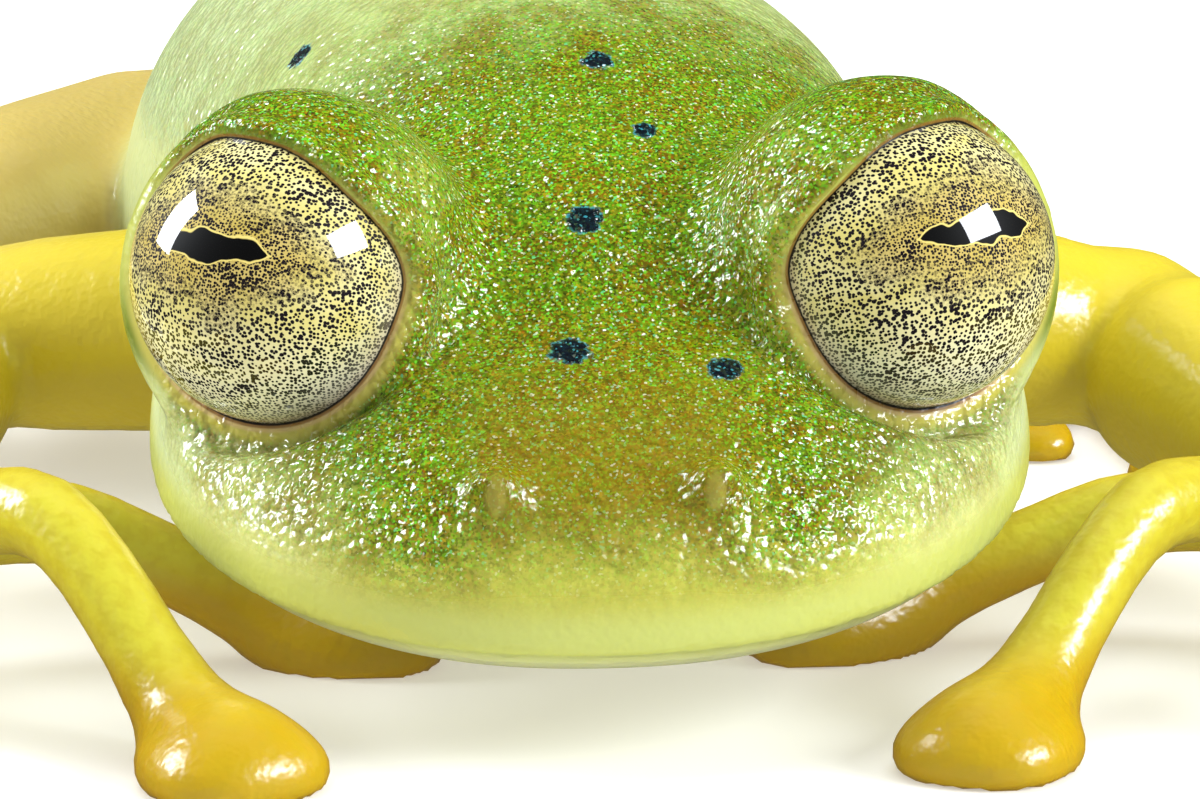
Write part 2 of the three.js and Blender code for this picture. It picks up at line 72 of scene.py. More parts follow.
def smooth_step(low: float, high: float, value: Array) -> Array:
    """Rise smoothly from 0 at low to 1 at high.

    Args:
        low: value where the rise starts.
        high: value where the rise ends.
        value: values to map.

    Returns:
        t * t * (3 - 2 t), with t the clamped place of value between low and high.
    """
    t = np.clip((value - low) / (high - low), 0.0, 1.0)
    return t * t * (3.0 - 2.0 * t)


def blended(a: Array, b: Array, width: float) -> Array:
    """Take the lesser of two distances, with the crease between them rounded.

    Args:
        a: first distances in mm.
        b: second distances in mm.
        width: how far the rounding reaches, in mm.

    Returns:
        min(a, b) less a quarter of width times the squared share by which they overlap.
    """
    overlap = np.maximum(width - np.abs(a - b), 0.0) / width
    return np.minimum(a, b) - overlap * overlap * width * 0.25


def turned(a: Array, b: Array, degrees: float) -> tuple[Array, Array]:
    """Turn a pair of coordinates.

    Args:
        a: first coordinates.
        b: second coordinates.
        degrees: the angle.

    Returns:
        a cos + b sin, and b cos - a sin.
    """
    c, s = math.cos(math.radians(degrees)), math.sin(math.radians(degrees))
    return a * c + b * s, b * c - a * s


def mirrored(point: Point, side: float) -> Point:
    """Mirror a point to one side of the frog."""
    return (point[0] * side, point[1], point[2])


def between(a: Point, b: Point, share: float) -> Point:
    """Find the point at a share of the way from a to b."""
    return tuple(p + (q - p) * share for p, q in zip(a, b))


def heading(a: Point, b: Point) -> float:
    """Find the angle in degrees by which the way from a to b is turned from straight back."""
    return math.degrees(math.atan2(-(b[0] - a[0]), b[1] - a[1]))


@dataclass(frozen=True)
class Place:
    """A turned frame inside the frog: a pitch about x, then a yaw about z at a pivot, then a lift."""

    pitch: float = 0.0
    yaw: float = 0.0
    pivot: float = 0.0
    lift: float = 0.0

    def inward(self, x: Array, y: Array, z: Array) -> tuple[Array, Array, Array]:
        """Carry the frog's coordinates into this frame.

        Args:
            x, y, z: sideways and backward coordinates and heights in mm.

        Returns:
            The same points in the frame's own coordinates.
        """
        z = z - self.lift
        if self.yaw:
            c, s, back = math.cos(math.radians(self.yaw)), math.sin(math.radians(self.yaw)), y - self.pivot
            x, y = x * c + back * s, self.pivot + back * c - x * s
        if self.pitch:
            y, z = turned(y, z, self.pitch)
        return x, y, z

    def outward(self, point: Point) -> Point:
        """Carry a point of this frame into the frog's coordinates.

        Args:
            point: the point in this frame.

        Returns:
            The same point in the frog's frame.
        """
        cos_p, sin_p = math.cos(math.radians(self.pitch)), math.sin(math.radians(self.pitch))
        cos_y, sin_y = math.cos(math.radians(self.yaw)), math.sin(math.radians(self.yaw))
        x, y, z = point
        y, z = y * cos_p - z * sin_p, y * sin_p + z * cos_p
        back = y - self.pivot
        return (x * cos_y - back * sin_y, self.pivot + x * sin_y + back * cos_y, z + self.lift)


HEAD = Place(pitch=12.5, lift=1.4)
TRUNK = Place(yaw=11.0, pivot=8.0)
FROG = Place()


@dataclass(frozen=True)
class Swelling:
    """A superellipsoid of flesh in a frame of the frog."""

    centre: Point
    radii: Point
    plan: float = 2.0
    side: float = 2.0
    tilt: float = 0.0
    turn: float = 0.0
    place: Place = FROG
    blend: float = 0.3
    zone: Zone = Zone.CROWN

    def reach(self) -> tuple[Array, Array]:
        """Give the low and high corners of all that this swelling can touch."""
        middle = np.array(self.place.outward(self.centre))
        size = np.full(3, max(self.radii) + self.blend + 0.4)
        return middle - size, middle + size

    def distance(self, x: Array, y: Array, z: Array) -> Array:
        """Measure how far points lie outside the surface.

        The gauge is the p-norm of the coordinates over the radii, with one exponent in plan and one
        for the height, and the distance is the length from the centre times one less its inverse.

        Args:
            x, y, z: sideways and backward coordinates and heights in mm.

        Returns:
            Distances in mm, negative inside.
        """
        x, y, z = self.place.inward(x, y, z)
        x, y, z = x - self.centre[0], y - self.centre[1], z - self.centre[2]
        if self.turn:
            x, y = turned(x, y, self.turn)
        if self.tilt:
            y, z = turned(y, z, self.tilt)
        flat = np.abs(x / self.radii[0]) ** self.plan + np.abs(y / self.radii[1]) ** self.plan
        gauge = flat ** (self.side / self.plan) + np.abs(z / self.radii[2]) ** self.side
        gauge = np.maximum(gauge, 1e-6) ** (1.0 / self.side)
        return np.sqrt(x * x + y * y + z * z) * (1.0 - 1.0 / gauge)


def curve_through(points: list[Point], steps: int) -> Array:
    """Run a smooth curve through points.

    Each stretch is a Catmull-Rom cubic of its two ends and their neighbours.

    Args:
        points: places that the curve passes, in mm.
        steps: pieces for each stretch.

    Returns:
        Points along the curve, one row each.
    """
    knots = np.array([points[0], *points, points[-1]], dtype=float)
    t = np.linspace(0.0, 1.0, steps, endpoint=False)[:, None]
    rows = []
    for i in range(len(points) - 1):
        a, b, c, d = knots[i : i + 4]
        rows.append(
            0.5 * (2 * b + (c - a) * t + (2 * a - 5 * b + 4 * c - d) * t**2 + (3 * b - a - 3 * c + d) * t**3)
        )
    return np.vstack([*rows, knots[-1:]])


@dataclass(frozen=True)
class Limb:
    """A round limb along a smooth route, whose radius is read from a list."""

    route: tuple[Point, ...]
    radii: tuple[float, ...]
    blend: float = 0.25
    steps: int = 6
    zone: Zone = Zone.LIMB

    def spine(self) -> tuple[Array, Array]:
        """Give the points along the route and the radius at each.

        Returns:
            The points, one row each, and their radii, eased between the listed ones.
        """
        points = curve_through(list(self.route), self.steps)
        gone = np.concatenate([[0.0], np.cumsum(np.linalg.norm(np.diff(points, axis=0), axis=1))])
        place = gone / gone[-1] * (len(self.radii) - 1)
        index = np.minimum(place.astype(int), len(self.radii) - 2)
        ease = smooth_step(0.0, 1.0, place - index)
        listed = np.array(self.radii)
        return points, listed[index] + (listed[index + 1] - listed[index]) * ease

    def reach(self) -> tuple[Array, Array]:
        """Give the low and high corners of all that this limb can touch."""
        points, radii = self.spine()
        margin = radii.max() + self.blend + 0.3
        return points.min(axis=0) - margin, points.max(axis=0) + margin

    def distance(self, x: Array, y: Array, z: Array) -> Array:
        """Measure how far points lie outside the limb.

        For each straight piece of the spine this is the distance to the piece less the radius at the
        nearest place on it, and the least of these counts.

        Args:
            x, y, z: sideways and backward coordinates and heights in mm.

        Returns:
            Distances in mm, negative inside.
        """
        points, radii = self.spine()
        least = None
        for a, b, ra, rb in zip(points[:-1], points[1:], radii[:-1], radii[1:]):
            run = b - a
            along = ((x - a[0]) * run[0] + (y - a[1]) * run[1] + (z - a[2]) * run[2]) / (run @ run)
            along = np.clip(along, 0.0, 1.0)
            dx, dy, dz = x - a[0] - along * run[0], y - a[1] - along * run[1], z - a[2] - along * run[2]
            away = np.sqrt(dx * dx + dy * dy + dz * dz) - (ra + (rb - ra) * along)
            least = away if least is None else np.minimum(least, away)
        return least


@dataclass(frozen=True)
class Ring:
    """A round cord of flesh bent into a circle."""

    centre: Point
    axis: Point
    radius: float
    cord: float
    blend: float = 0.15
    zone: Zone = Zone.CROWN

    def reach(self) -> tuple[Array, Array]:
        """Give the low and high corners of all that this ring can touch."""
        size = self.radius + self.cord + self.blend + 0.3
        return np.array(self.centre) - size, np.array(self.centre) + size

    def distance(self, x: Array, y: Array, z: Array) -> Array:
        """Measure how far points lie outside the ring.

        Along the axis and away from it the point is compared with the circle, less the cord's radius.

        Args:
            x, y, z: sideways and backward coordinates and heights in mm.

        Returns:
            Distances in mm, negative inside.
        """
        dx, dy, dz = x - self.centre[0], y - self.centre[1], z - self.centre[2]
        along = dx * self.axis[0] + dy * self.axis[1] + dz * self.axis[2]
        px, py, pz = dx - along * self.axis[0], dy - along * self.axis[1], dz - along * self.axis[2]
        away = np.sqrt(px * px + py * py + pz * pz) + 1e-9
        return np.sqrt((away - self.radius) ** 2 + along**2) - self.cord


@dataclass(frozen=True)
class Web:
    """A thin sheet of skin over a flat outline."""

    outline: tuple[Point, ...]
    thickness: float = 0.5
    blend: float = 0.18
    zone: Zone = Zone.FOOT
    margin: float = 0.7
    rounding: float = 0.1

    def reach(self) -> tuple[Array, Array]:
        """Give the low and high corners of all that this web can touch."""
        corners = np.array(self.outline)
        return corners.min(axis=0) - self.margin, corners.max(axis=0) + self.margin

    def distance(self, x: Array, y: Array, z: Array) -> Array:
        """Measure how far points lie outside the sheet.

        In plan this is the distance to the nearest edge of the outline, negative inside it, and the
        sheet's middle height runs from the first corner's to the others' with the way from the root.

        Args:
            x, y, z: sideways and backward coordinates and heights in mm.

        Returns:
            Distances in mm, negative inside.
        """
        corners = np.array(self.outline)
        nearest, inside = None, None
        for a, b in zip(corners, np.roll(corners, -1, axis=0)):
            run = b[:2] - a[:2]
            along = np.clip(((x - a[0]) * run[0] + (y - a[1]) * run[1]) / (run @ run), 0.0, 1.0)
            gap = (x - a[0] - along * run[0]) ** 2 + (y - a[1] - along * run[1]) ** 2
            nearest = gap if nearest is None else np.minimum(nearest, gap)
            crosses = ((a[1] > y) != (b[1] > y)) & (
                x < (b[0] - a[0]) * (y - a[1]) / (b[1] - a[1] + 1e-12) + a[0]
            )
            inside = crosses if inside is None else inside ^ crosses
        plan = np.where(inside, -1.0, 1.0) * np.sqrt(nearest)
        root, rim = corners[0], corners[1:].mean(axis=0)
        length = np.linalg.norm(rim[:2] - root[:2])
        share = np.clip(np.sqrt((x - root[0]) ** 2 + (y - root[1]) ** 2) / length, 0.0, 1.2)
        height = np.abs(z - (root[2] + (rim[2] - root[2]) * share)) - self.thickness * 0.5
        plan, height = plan + self.rounding, height + self.rounding
        outside = np.sqrt(np.maximum(plan, 0.0) ** 2 + np.maximum(height, 0.0) ** 2)
        return outside + np.minimum(np.maximum(plan, height), 0.0) - self.rounding


@dataclass(frozen=True)
class EyeSizes:
    """The eyeball, its dome and its lids, in the head's frame."""

    centre: Point = (3.7, 4.35, 2.99)
    radius: float = 1.75
    dome: Point = (3.5, 4.9, 2.82)
    dome_radius: float = 2.15
    outward: float = 30.0
    upward: float = 8.0
    spread: float = 83.0
    upper_lid: Point = (16.0, 68.0, 42.0)
    corner: Point = (5.0, 2.0, 14.0)
    roll: tuple[float, float] = (0.15, 0.075)
    roll_rise: float = 0.85
    roll_extra: float = 0.035
    roll_stretches: int = 40
    bevel_reach: float = 0.3
    bevel_slope: float = 0.7
    cut_depth: float = 0.42
    bare: tuple[float, float] = (0.15, 0.08)

    def middle(self, side: float) -> Array:
        """Find the eyeball's centre in the frog's frame."""
        return np.array(HEAD.outward(mirrored(self.centre, side)))

    def directions(self, side: float) -> tuple[Array, Array, Array]:
        """Find the frame of the lids.

        Args:
            side: 1 for the frog's left eye and -1 for its right one.

        Returns:
            The way that they open, the way to the snout, and the way up.
        """
        out, up = math.radians(self.outward), math.radians(self.upward)
        axis = np.array([side * math.sin(out) * math.cos(up), -math.cos(out) * math.cos(up), math.sin(up)])
        inner = np.array([-side * math.cos(out), -math.sin(out), 0.0])
        above = np.array([-side * math.sin(out) * math.sin(up), math.cos(out) * math.sin(up), math.cos(up)])
        return axis, inner, above

    def rim(self, turn: Array) -> Array:
        """Give how far the lids stand from their axis, in radians.

        The angle is the spread, less a flat-topped bump where the upper lid hangs over the eye, plus
        a narrow one at the inner corner. Each bump lists its height, middle and width in degrees.

        Args:
            turn: the way round the axis in radians, 0 towards the snout and a quarter turn up.

        Returns:
            The angles between the axis and the lids' rim.
        """
        turn = np.degrees(turn)
        hood = self.upper_lid[0] * np.exp(-(((turn - self.upper_lid[1]) / self.upper_lid[2]) ** 4))
        corner = self.corner[0] * np.exp(-(((turn - self.corner[1]) / self.corner[2]) ** 2))
        return np.radians(self.spread - hood + corner)

    def opening(self, side: float, x: Array, y: Array, z: Array) -> Array:
        """Measure how far points lie outside the opening of the lids.

        Before the rim of the lids the eyeball is laid bare. Close to the eyeball the cut leans back, so
        that the lids thin out towards it, and it ends at the cut's depth above the eyeball.

        Args:
            side: 1 for the frog's left eye and -1 for its right one.
            x, y, z: sideways and backward coordinates and heights in mm.

        Returns:
            Distances in mm, negative inside.
        """
        centre, (axis, inner, above) = self.middle(side), self.directions(side)
        dx, dy, dz = x - centre[0], y - centre[1], z - centre[2]
        ahead, over, up = (dx * d[0] + dy * d[1] + dz * d[2] for d in (axis, inner, above))
        away = np.sqrt(dx * dx + dy * dy + dz * dz) + 1e-9
        lean = np.arccos(np.clip(ahead / away, -1.0, 1.0))
        beyond = away - self.radius
        past = (lean - self.rim(np.arctan2(up, over))) * self.radius
        bevel = past - np.clip(beyond, 0.0, self.bevel_reach)
        return np.maximum(bevel * self.bevel_slope, beyond - self.cut_depth)

    def lid_roll(self, side: float) -> tuple[tuple[Point, ...], tuple[float, ...]]:
        """Run a closed roll of flesh behind the rim of the lids, thick below and thin above.

        Args:
            side: 1 for the frog's left eye and -1 for its right one.

        Returns:
            Points in mm in the frog's frame, the last one on the first, and the radius at each.
        """
        axis, inner, above = self.directions(side)
        turn = np.linspace(-math.pi, math.pi, self.roll_stretches + 1)[:, None]
        half = self.roll[0] - self.roll[1] * np.sin(turn)
        lean = self.rim(turn) + half / self.radius
        out = axis * np.cos(lean) + (inner * np.cos(turn) + above * np.sin(turn)) * np.sin(lean)
        points = self.middle(side) + out * (self.radius + half * self.roll_rise)
        return tuple(map(tuple, points)), tuple(float(r) for r in half[:, 0] + self.roll_extra)


EYE = EyeSizes()


@dataclass(frozen=True)
class HeadSizes:
    """The face, jaw and braincase, in the head's frame."""

    mouth: float = 0.02
    face: Swelling = Swelling((0, 6.3, 0.1), (5.35, 6.3, 2.75), 2.25, 2.2, place=HEAD)
    jaw: Swelling = Swelling((0, 6.42, 0.1), (5.24, 6.33, 1.85), 2.25, 1.55, place=HEAD)
    braincase: Swelling = Swelling((0, 8.8, 2.0), (3.7, 5.0, 2.2), place=HEAD)
    lip_edge: float = 0.05
    groove: tuple[float, float] = (0.05, 0.06)
    groove_end: tuple[float, float] = (9.0, 7.5)
    skull_blend: float = 1.0
    dome_blend: float = 0.75
    nostril: Point = (1.25, 0.98, 1.7)
    nostril_radius: float = 0.3
    pit: Point = (0.2, -0.22, 0.03)
    pit_radius: float = 0.1
    pit_height: float = 0.75
    fold: tuple[Point, ...] = ((4.75, 6.6, 3.1), (4.75, 7.6, 2.6), (4.6, 8.6, 1.6))
    fold_radii: tuple[float, ...] = (0.2, 0.26, 0.2)
    eardrum: Point = (4.5, 7.6, 1.75)
    eardrum_facing: Point = (0.98, 0.1, 0.17)
    eardrum_radius: float = 0.48
    eardrum_cord: float = 0.1

    def distance(self, x: Array, y: Array, z: Array) -> Array:
        """Measure how far points lie outside the head's flesh.

        The face rules above the line of the mouth and the narrower jaw below it, and the braincase
        and the eye domes are blended on.

        Args:
            x, y, z: sideways and backward coordinates and heights in mm.

        Returns:
            Distances in mm, negative inside.
        """
        _, along, height = HEAD.inward(x, y, z)
        upper = smooth_step(self.mouth - self.lip_edge, self.mouth + self.lip_edge, height)
        depth, width = self.groove
        groove = depth * np.exp(-(((height - self.mouth) / width) ** 2)) * smooth_step(*self.groove_end, along)
        front = self.jaw.distance(x, y, z) * (1.0 - upper) + self.face.distance(x, y, z) * upper
        skull = blended(front + groove, self.braincase.distance(x, y, z), self.skull_blend)
        for side in SIDES.values():
            cx, cy, cz = HEAD.outward(mirrored(EYE.dome, side))
            dome = np.sqrt((x - cx) ** 2 + (y - cy) ** 2 + (z - cz) ** 2) - EYE.dome_radius
            skull = blended(skull, dome, self.dome_blend)
        return skull


@dataclass(frozen=True)
class TrunkSizes:
    """The chest, belly and pelvis, in the trunk's frame."""

    chest: Swelling = Swelling((0, 11.2, 4.35), (4.1, 4.7, 3.75), place=TRUNK)
    belly: Swelling = Swelling((0, 15.4, 4.0), (4.5, 5.8, 4.35), tilt=-9, place=TRUNK)
    pelvis: Swelling = Swelling((0, 21.3, 2.95), (3.1, 5.1, 2.5), tilt=-20, place=TRUNK)
    blend: float = 1.5

    def distance(self, x: Array, y: Array, z: Array) -> Array:
        """Measure how far points lie outside the trunk, its three swellings blended."""
        front = blended(self.chest.distance(x, y, z), self.belly.distance(x, y, z), self.blend)
        return blended(front, self.pelvis.distance(x, y, z), self.blend)


@dataclass(frozen=True)
class Finger:
    """A finger: its knuckle, the neck above its disc, and the disc on the floor."""

    knuckle: Point
    neck: Point
    disc: tuple[float, float]
    width: float


@dataclass(frozen=True)
class ArmSizes:
    """The arm's joints, its flesh and its fingers."""

    shoulder: Point = (3.1, 9.7, 3.5)
    elbow: dict[str, Point] = field(
        default_factory=lambda: {"left": (7.2, 11.0, 2.75), "right": (8.2, 11.3, 3.05)}
    )
    wrist: Point = (9.2, 6.5, 1.85)
    palm: Point = (8.7, 5.3, 1.75)
    palm_size: Point = (1.12, 1.2, 0.66)
    upper: tuple[float, ...] = (1.4, 1.35, 1.25, 1.1)
    fore: tuple[float, ...] = (1.1, 1.32, 1.1, 0.72)
    lift: dict[str, float] = field(default_factory=lambda: {"left": 0.0, "right": 0.25})
    finger: float = 0.47
    finger_shares: tuple[float, ...] = (1.3, 1.08, 1.1, 1.0, 1.02, 1.2, 1.35)
    disc_height: float = 0.42
    disc_length: float = 0.88
    fingers: tuple[Finger, ...] = (
        Finger((6.4, 6.3, 1.45), (4.0, 6.0, 0.6), (2.85, 5.7), 1.3),
        Finger((6.48, 2.95, 2.3), (4.9, 1.15, 0.66), (4.3, 0.1), 1.88),
        Finger((8.6, 2.4, 2.15), (9.0, -0.35, 0.6), (9.1, -1.5), 1.9),
        Finger((10.7, 4.0, 1.75), (12.3, 2.45, 0.58), (13.05, 1.65), 1.6),
    )

    def shapes(self, word: str) -> list[Limb | Swelling | Web]:
        """List the flesh of one arm and its hand.

        Args:
            word: "left" or "right".

        Returns:
            The limb, the palm, the fingers with their discs and the web between the outer two.
        """
        side = SIDES[word]
        shoulder, wrist, palm = (mirrored(p, side) for p in (self.shoulder, self.wrist, self.palm))
        elbow = mirrored(self.elbow[word], side)
        made: list[Limb | Swelling | Web] = [
            Limb((shoulder, elbow), self.upper, 0.8),
            Limb((elbow, wrist), self.fore, 0.3),
            Limb((wrist, palm), (0.72, 0.74), 0.3, zone=Zone.HAND),
            Swelling(palm, self.palm_size, 2.4, turn=heading(wrist, palm), blend=0.35, zone=Zone.HAND),
        ]
        anchors = []
        for finger in self.fingers:
            knuckle = mirrored(finger.knuckle, side)
            knuckle = (knuckle[0], knuckle[1], knuckle[2] + self.lift[word])
            neck = mirrored(finger.neck, side)
            disc = (finger.disc[0] * side, finger.disc[1], self.disc_height * 0.55)
            root = between(palm, knuckle, 0.16)
            radii = tuple(share * self.finger for share in self.finger_shares)
            made.append(Limb((root, knuckle, neck, disc), radii, 0.35, zone=Zone.HAND))
            size = (finger.width / 2, self.disc_length, self.disc_height)
            made.append(Swelling(disc, size, 2.7, turn=heading(neck, disc), blend=1.0, zone=Zone.HAND))
            anchors.append(between(knuckle, neck, 0.34))
        outline = web_outline(palm, anchors[2], anchors[3], 0.3)
        made.append(Web(outline, 0.42, 0.3, Zone.HAND))
        return made


def web_outline(root: Point, first: Point, second: Point, scallop: float) -> tuple[Point, ...]:
    """Draw the outline of a web whose free edge is drawn back towards its root.

    Args:
        root: where the digits meet.
        first: the web's end on one digit.
        second: the web's end on the other digit.
        scallop: share of the way to the root by which the middle of the edge is drawn back.

    Returns:
        The corners in order from the root.
    """
    middle = between(between(first, second, 0.5), root, scallop)
    near = between(between(first, middle, 0.55), root, scallop * 0.35)
    far = between(between(second, middle, 0.55), root, scallop * 0.35)
    return (root, first, near, middle, far, second)


@dataclass(frozen=True)
class LegSizes:
    """The hind leg's joints in the trunk's frame, its flesh and its toes."""

    hip: Point = (1.5, 23.4, 3.1)
    knee: dict[str, Point] = field(
        default_factory=lambda: {"left": (7.0, 15.9, 2.9), "right": (8.3, 15.4, 3.45)}
    )
    heel: Point = (6.7, 25.0, 1.05)
    instep: Point = (10.0, 19.9, 0.72)
    thigh: tuple[float, ...] = (1.7, 1.9, 1.72, 1.25)
    shank: tuple[float, ...] = (1.15, 1.32, 1.12, 0.78)
    tarsus: tuple[float, ...] = (0.78, 0.62, 0.6, 0.74)
    toes: tuple[tuple[float, float], ...] = ((3.8, -38), (5.3, -22), (7.2, -6), (9.6, 9), (7.4, 27))
    toe: float = 0.37
    toe_shares: tuple[float, ...] = (1.15, 1.1, 1.0, 0.9, 0.85)
    toe_height: float = 0.34
    disc: float = 1.12
    web_reach: float = 0.62
    web_height: float = 0.34

    def shapes(self, word: str) -> list[Limb | Swelling | Web]:
        """List the flesh of one hind leg and its foot.

        Args:
            word: "left" or "right".

        Returns:
            The thigh, shank and tarsus, the toes with their discs and the webs between them.
        """
        side = SIDES[word]

        def laid(point: Point) -> Point:
            """Carry a point of the trunk's frame, on this side, into the frog's."""
            return TRUNK.outward(mirrored(point, side))

        hip, knee, heel = laid(self.hip), laid(self.knee[word]), laid(self.heel)
        made: list[Limb | Swelling | Web] = [
            Limb((hip, knee), self.thigh, 0.7),
            Limb((knee, heel), self.shank, 0.2),
            Limb((heel, laid(self.instep)), self.tarsus, 0.2, zone=Zone.FOOT),
        ]
        start = (self.instep[0], self.instep[1], self.toe_height)
        tips = []
        for index, (length, angle) in enumerate(self.toes):
            lean = math.radians(angle)
            tip = (start[0] + length * math.sin(lean), start[1] - length * math.cos(lean), start[2])
            tips.append(tip)
            root = (start[0] + 0.13 * (index - 2), start[1] + 0.1 * index, self.instep[2] - 0.12)
            rise = between(start, tip, 0.45)
            rise = (rise[0], rise[1], rise[2] + 0.12)
            near = between(start, tip, 1 - self.toe / length)
            radii = tuple(share * self.toe for share in self.toe_shares)
            made.append(Limb((laid(root), laid(rise), laid(near)), radii, 0.2, zone=Zone.FOOT))
            disc = laid((tip[0], tip[1], self.toe_height * 0.55))
            size = (self.disc / 2, self.disc * 0.48, self.toe_height)
            made.append(Swelling(disc, size, 2.5, turn=heading(laid(near), disc), zone=Zone.FOOT))
        root = (start[0], start[1], self.web_height)
        for gap in range(len(tips) - 1):
            reach = self.web_reach * (0.75 if gap == 0 else 1.0)
            share = min(reach * self.toes[gap][0] / self.toes[gap + 1][0] * 1.12, 0.8)
            ends = [between(root, (t[0], t[1], root[2]), s) for t, s in
                    ((tips[gap], reach), (tips[gap + 1], share))]
            outline = tuple(laid(p) for p in web_outline(root, *ends, 0.16))
            made.append(Web(outline))
        return made


@dataclass(frozen=True)
class Lattice:
    """The sampling planes: each axis lists places and the step there, in mm.

    Behind the head the planes in height move to the rear spacing, which is fine on the feet and coarse
    above them. The planes across stay where they are, because slanting cells would ridge a thin toe.
    """

    back: tuple[Point, ...] = (
        (-3.1, 0.14), (0.0, 0.13), (2.3, 0.1), (6.6, 0.1), (9.0, 0.22), (26.0, 0.25), (27.4, 0.25),
    )
    across: tuple[Point, ...] = ((0.0, 0.13), (1.7, 0.12), (2.1, 0.1), (5.7, 0.1), (6.6, 0.155), (12.0, 0.17))
    front_height: tuple[Point, ...] = ((0.0, 0.12), (3.0, 0.13), (3.7, 0.1), (7.0, 0.1), (8.6, 0.17))
    rear_height: tuple[Point, ...] = ((0.0, 0.12), (1.3, 0.12), (2.0, 0.24), (8.6, 0.28))
    change: tuple[float, float] = (8.6, 10.8)
    reach: float = 15.0
    top: float = 8.6
    below: float = -0.05

    def line(self, steps: tuple[Point, ...], end: float) -> Array:
        """Lay planes from the first listed place to the end, each a step on from the one before.

        Args:
            steps: places and the step there, between which the step is interpolated.
            end: the place that the last plane reaches.

        Returns:
            Plane positions in mm.
        """
        places, sizes = zip(*steps)
        planes = [places[0]]
        while planes[-1] < end:
            planes.append(planes[-1] + float(np.interp(planes[-1], places, sizes)))
        return np.array(planes)

    def drawn_back(self, front: Array, rear: Array, share: Array) -> Array:
        """Blend two sets of planes, row by row.

        The shorter set first grows to the other's count, past its end by its last step.

        Args:
            front: planes at the head.
            rear: planes behind the neck.
            share: for each row, how far it has changed from front to rear.

        Returns:
            One row of plane positions for each share.
        """
        count = max(len(front), len(rear))
        grown = [
            np.concatenate([line, line[-1] + np.arange(1, count - len(line) + 1) * (line[-1] - line[-2])])
            for line in (front, rear)
        ]
        return grown[0] + (grown[1] - grown[0]) * share[:, None]

    def planes(self) -> tuple[Array, Array, Array]:
        """Give the lattice's nodes.

        Returns:
            The x of each node by index across and back, the y by index back, and the z by index back
            and in height, shaped to broadcast with one another.
        """
        y = self.line(self.back, self.back[-1][0])
        share = smooth_step(*self.change, y)
        half = self.line(self.across, self.reach)
        x = np.tile(np.concatenate([-half[:0:-1], half]), (len(y), 1))
        z = self.drawn_back(
            self.line(self.front_height, self.top), self.line(self.rear_height, self.top), share
        )
        z = np.concatenate([np.full((len(y), 1), self.below), z], axis=1)
        return x.T[:, :, None], y[None, :, None], z[None, :, :]


def window(x: Array, y: Array, z: Array, low: Array, high: Array) -> tuple[object, tuple[Array, ...]]:
    """Pick the points, or the block of a lattice, that lies between two corners.

    Args:
        x: sideways coordinates, of single points or of a lattice.
        y: backward coordinates.
        z: heights.
        low: the low corner.
        high: the high corner.

    Returns:
        The index that picks them from an array of values, and their coordinates.
    """
    if x.ndim == 1:
        cut = (x > low[0]) & (x < high[0]) & (y > low[1]) & (y < high[1]) & (z > low[2]) & (z < high[2])
        return cut, (x[cut], y[cut], z[cut])
    rows = np.flatnonzero((y[0, :, 0] > low[1]) & (y[0, :, 0] < high[1]))
    rows = slice(rows[0], rows[-1] + 1)
    across = np.flatnonzero(((x[:, rows, 0] > low[0]) & (x[:, rows, 0] < high[0])).any(axis=1))
    levels = np.flatnonzero(((z[0, rows] > low[2]) & (z[0, rows] < high[2])).any(axis=0))
    across, levels = slice(across[0], across[-1] + 1), slice(levels[0], levels[-1] + 1)
    return (across, rows, levels), (x[across, rows], y[:, rows], z[:, rows, levels])


